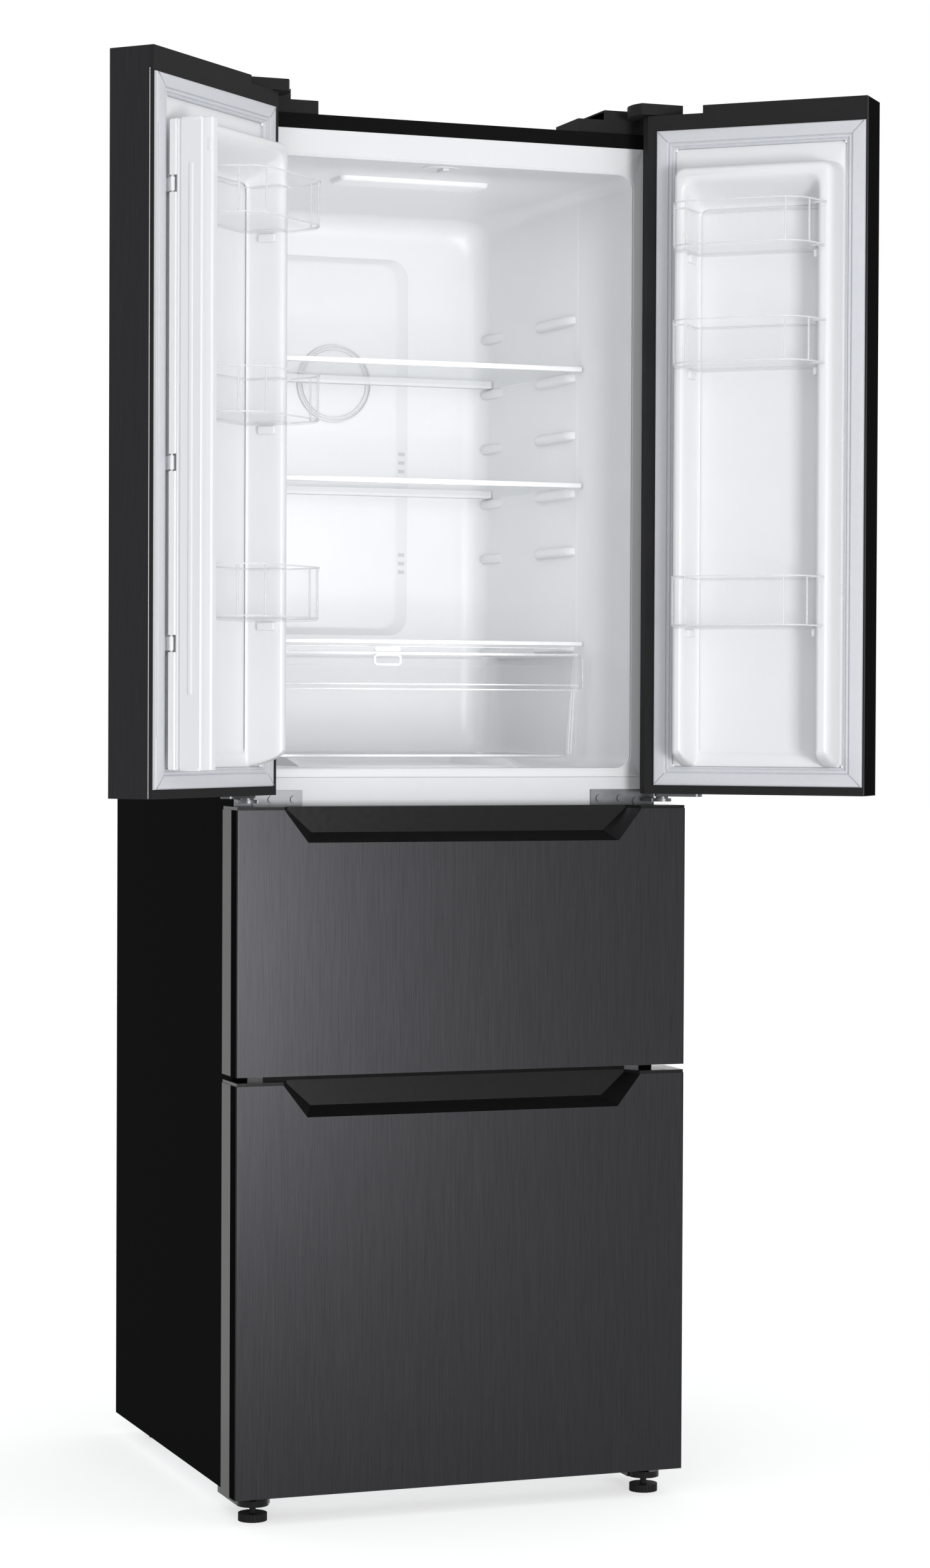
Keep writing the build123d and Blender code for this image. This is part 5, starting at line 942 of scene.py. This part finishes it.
def round_cover_rings(mesh):
    back, face = COVER_RING_DEPTHS
    for outer, inner in COVER_RINGS:
        lathe(mesh, ((outer, back), (outer - COVER_RING_SOFT, face), (inner + COVER_RING_SOFT, face),
                     (inner, back)), hollow=True)


def light_cover(mesh):
    join_loops(mesh, lying(*LIGHT_OUTLINE, LIGHT_LAYERS), True, True)


def guide(mesh):
    across, deep = GUIDE_HALVES
    turns = [2 * pi * k / GUIDE_POINTS for k in range(GUIDE_POINTS)]
    loops = [[((across - inset) * cos(turn), GUIDE_Y + (deep - inset) * sin(turn), z) for turn in turns]
             for inset, z in GUIDE_LAYERS]
    join_loops(mesh, loops, True, True)
    brick(mesh, *GUIDE_BLOCK)


piece("round_air_cover", "cabinet", clear, "clear_covers", round_cover, smooth=50)
piece("round_air_cover_rings", "cabinet", clear_rings, "clear_covers", round_cover_rings, smooth=50)
piece("ceiling_light_cover", "cabinet", glowing, "clear_covers", light_cover, smooth=50)
piece("flap_guide_plate", "cabinet", liner_white, "flap_guide", guide, smooth=40)


# Camera, lights and floor. Lamps are (name, place, aim, size, power), in metres and watts.

FRONT_LAMP = ("front", (0.3, -5.0, 0.55), (0, 0, 0.9), 1.1, 105)
KEY_LAMP = ("key", (-2.4, -4.6, 2.8), (0, 0, 1.1), 2.4, 30)
INSIDE_LAMP = ("inside", (0, 0.06, 1.26), (0, 0.5, 1.26), 0.24, 0.62)
INSIDE_LAMP_HEIGHT = 0.7
WHITE = (1, 1, 1, 1)
WORLD_SEEN = 1.0
WORLD_COLOUR = (0.97, 0.985, 1.0, 1)
WORLD_LIGHT = 0.55
FLOOR_COLOUR = (0.8, 0.8, 0.8, 1)
FLOOR_SEEN = 0.6
FLOOR_REACH = 30.0


def area(name, place, aim, size, power):
    """A square soft lamp aimed at a point."""
    lamp = bpy.data.lights.new(name, "AREA")
    lamp.size = size
    lamp.energy = power
    made = bpy.data.objects.new(name, lamp)
    made.location = place
    made.rotation_euler = (Vector(aim) - Vector(place)).to_track_quat("-Z", "Y").to_euler()
    bpy.context.scene.collection.objects.link(made)
    return made


def set_camera():
    yaw, pitch, roll = radians(CAMERA_YAW), radians(CAMERA_PITCH), radians(CAMERA_ROLL)
    ahead = Vector((sin(yaw) * cos(pitch), cos(yaw) * cos(pitch), sin(pitch)))
    level = Vector((cos(yaw), -sin(yaw), 0))
    above = level.cross(ahead)
    right = level * cos(roll) + above * sin(roll)
    up = above * cos(roll) - level * sin(roll)
    data = bpy.data.cameras.new("camera")
    data.sensor_width = SENSOR
    data.lens = SENSOR * FOCAL_PIXELS / FRAME_HEIGHT
    data.clip_end = CAMERA_SEES_TO
    made = bpy.data.objects.new("camera", data)
    turn = Matrix((right, up, -ahead)).transposed().to_4x4()
    made.matrix_world = Matrix.Translation(Vector(CAMERA_PLACE) * MM) @ turn
    bpy.context.scene.collection.objects.link(made)
    bpy.context.scene.camera = made


def seen_rays(nodes, links):
    """1 where it is seen, straight, in a reflection or through glass, and 0 as light on the object."""
    path = nodes.new("ShaderNodeLightPath")
    seen = path.outputs["Is Camera Ray"]
    for ray in ("Is Glossy Ray", "Is Transmission Ray"):
        either = nodes.new("ShaderNodeMath")
        either.operation = "MAXIMUM"
        links.new(seen, either.inputs[0])
        links.new(path.outputs[ray], either.inputs[1])
        seen = either.outputs[0]
    return seen


def light_world(tree):
    """World light: white where it is seen, dimmer as light on the object."""
    nodes, links = tree.nodes, tree.links
    nodes.clear()
    bright = nodes.new("ShaderNodeBackground")
    bright.inputs["Strength"].default_value = WORLD_SEEN
    bright.inputs["Color"].default_value = WHITE
    dim = nodes.new("ShaderNodeBackground")
    dim.inputs["Strength"].default_value = WORLD_LIGHT
    dim.inputs["Color"].default_value = WORLD_COLOUR
    mix = nodes.new("ShaderNodeMixShader")
    links.new(seen_rays(nodes, links), mix.inputs[0])
    links.new(dim.outputs[0], mix.inputs[1])
    links.new(bright.outputs[0], mix.inputs[2])
    out = nodes.new("ShaderNodeOutputWorld")
    links.new(mix.outputs[0], out.inputs["Surface"])


def floor_material():
    """A pale floor that reads white where it is seen and still takes the appliance's shadow."""
    made = bpy.data.materials.new("pale_floor")
    made.use_nodes = True
    nodes, links = made.node_tree.nodes, made.node_tree.links
    nodes.clear()
    base = nodes.new("ShaderNodeBsdfDiffuse")
    base.inputs["Color"].default_value = FLOOR_COLOUR
    lift = nodes.new("ShaderNodeEmission")
    lift.inputs["Color"].default_value = WHITE
    level = nodes.new("ShaderNodeMath")
    level.operation = "MULTIPLY"
    level.inputs[1].default_value = FLOOR_SEEN
    links.new(seen_rays(nodes, links), level.inputs[0])
    links.new(level.outputs[0], lift.inputs["Strength"])
    both = nodes.new("ShaderNodeAddShader")
    links.new(base.outputs[0], both.inputs[0])
    links.new(lift.outputs[0], both.inputs[1])
    out = nodes.new("ShaderNodeOutputMaterial")
    links.new(both.outputs[0], out.inputs["Surface"])
    return made


set_camera()
scene = bpy.context.scene
scene.view_settings.view_transform = "Standard"
world = bpy.data.worlds.new("studio")
world.use_nodes = True
scene.world = world
light_world(world.node_tree)
area(*FRONT_LAMP)
area(*KEY_LAMP)
inside = area(*INSIDE_LAMP)
inside.data.shape = "RECTANGLE"
inside.data.size_y = INSIDE_LAMP_HEIGHT
inside.visible_camera = False
inside.visible_glossy = False

floor_mesh = bpy.data.meshes.new("floor")
floor_mesh.from_pydata([(-FLOOR_REACH, -FLOOR_REACH, 0), (FLOOR_REACH, -FLOOR_REACH, 0),
                        (FLOOR_REACH, FLOOR_REACH, 0), (-FLOOR_REACH, FLOOR_REACH, 0)], [], [(0, 1, 2, 3)])
floor_mesh.materials.append(floor_material())
floor = bpy.data.objects.new("floor", floor_mesh)
scene.collection.objects.link(floor)
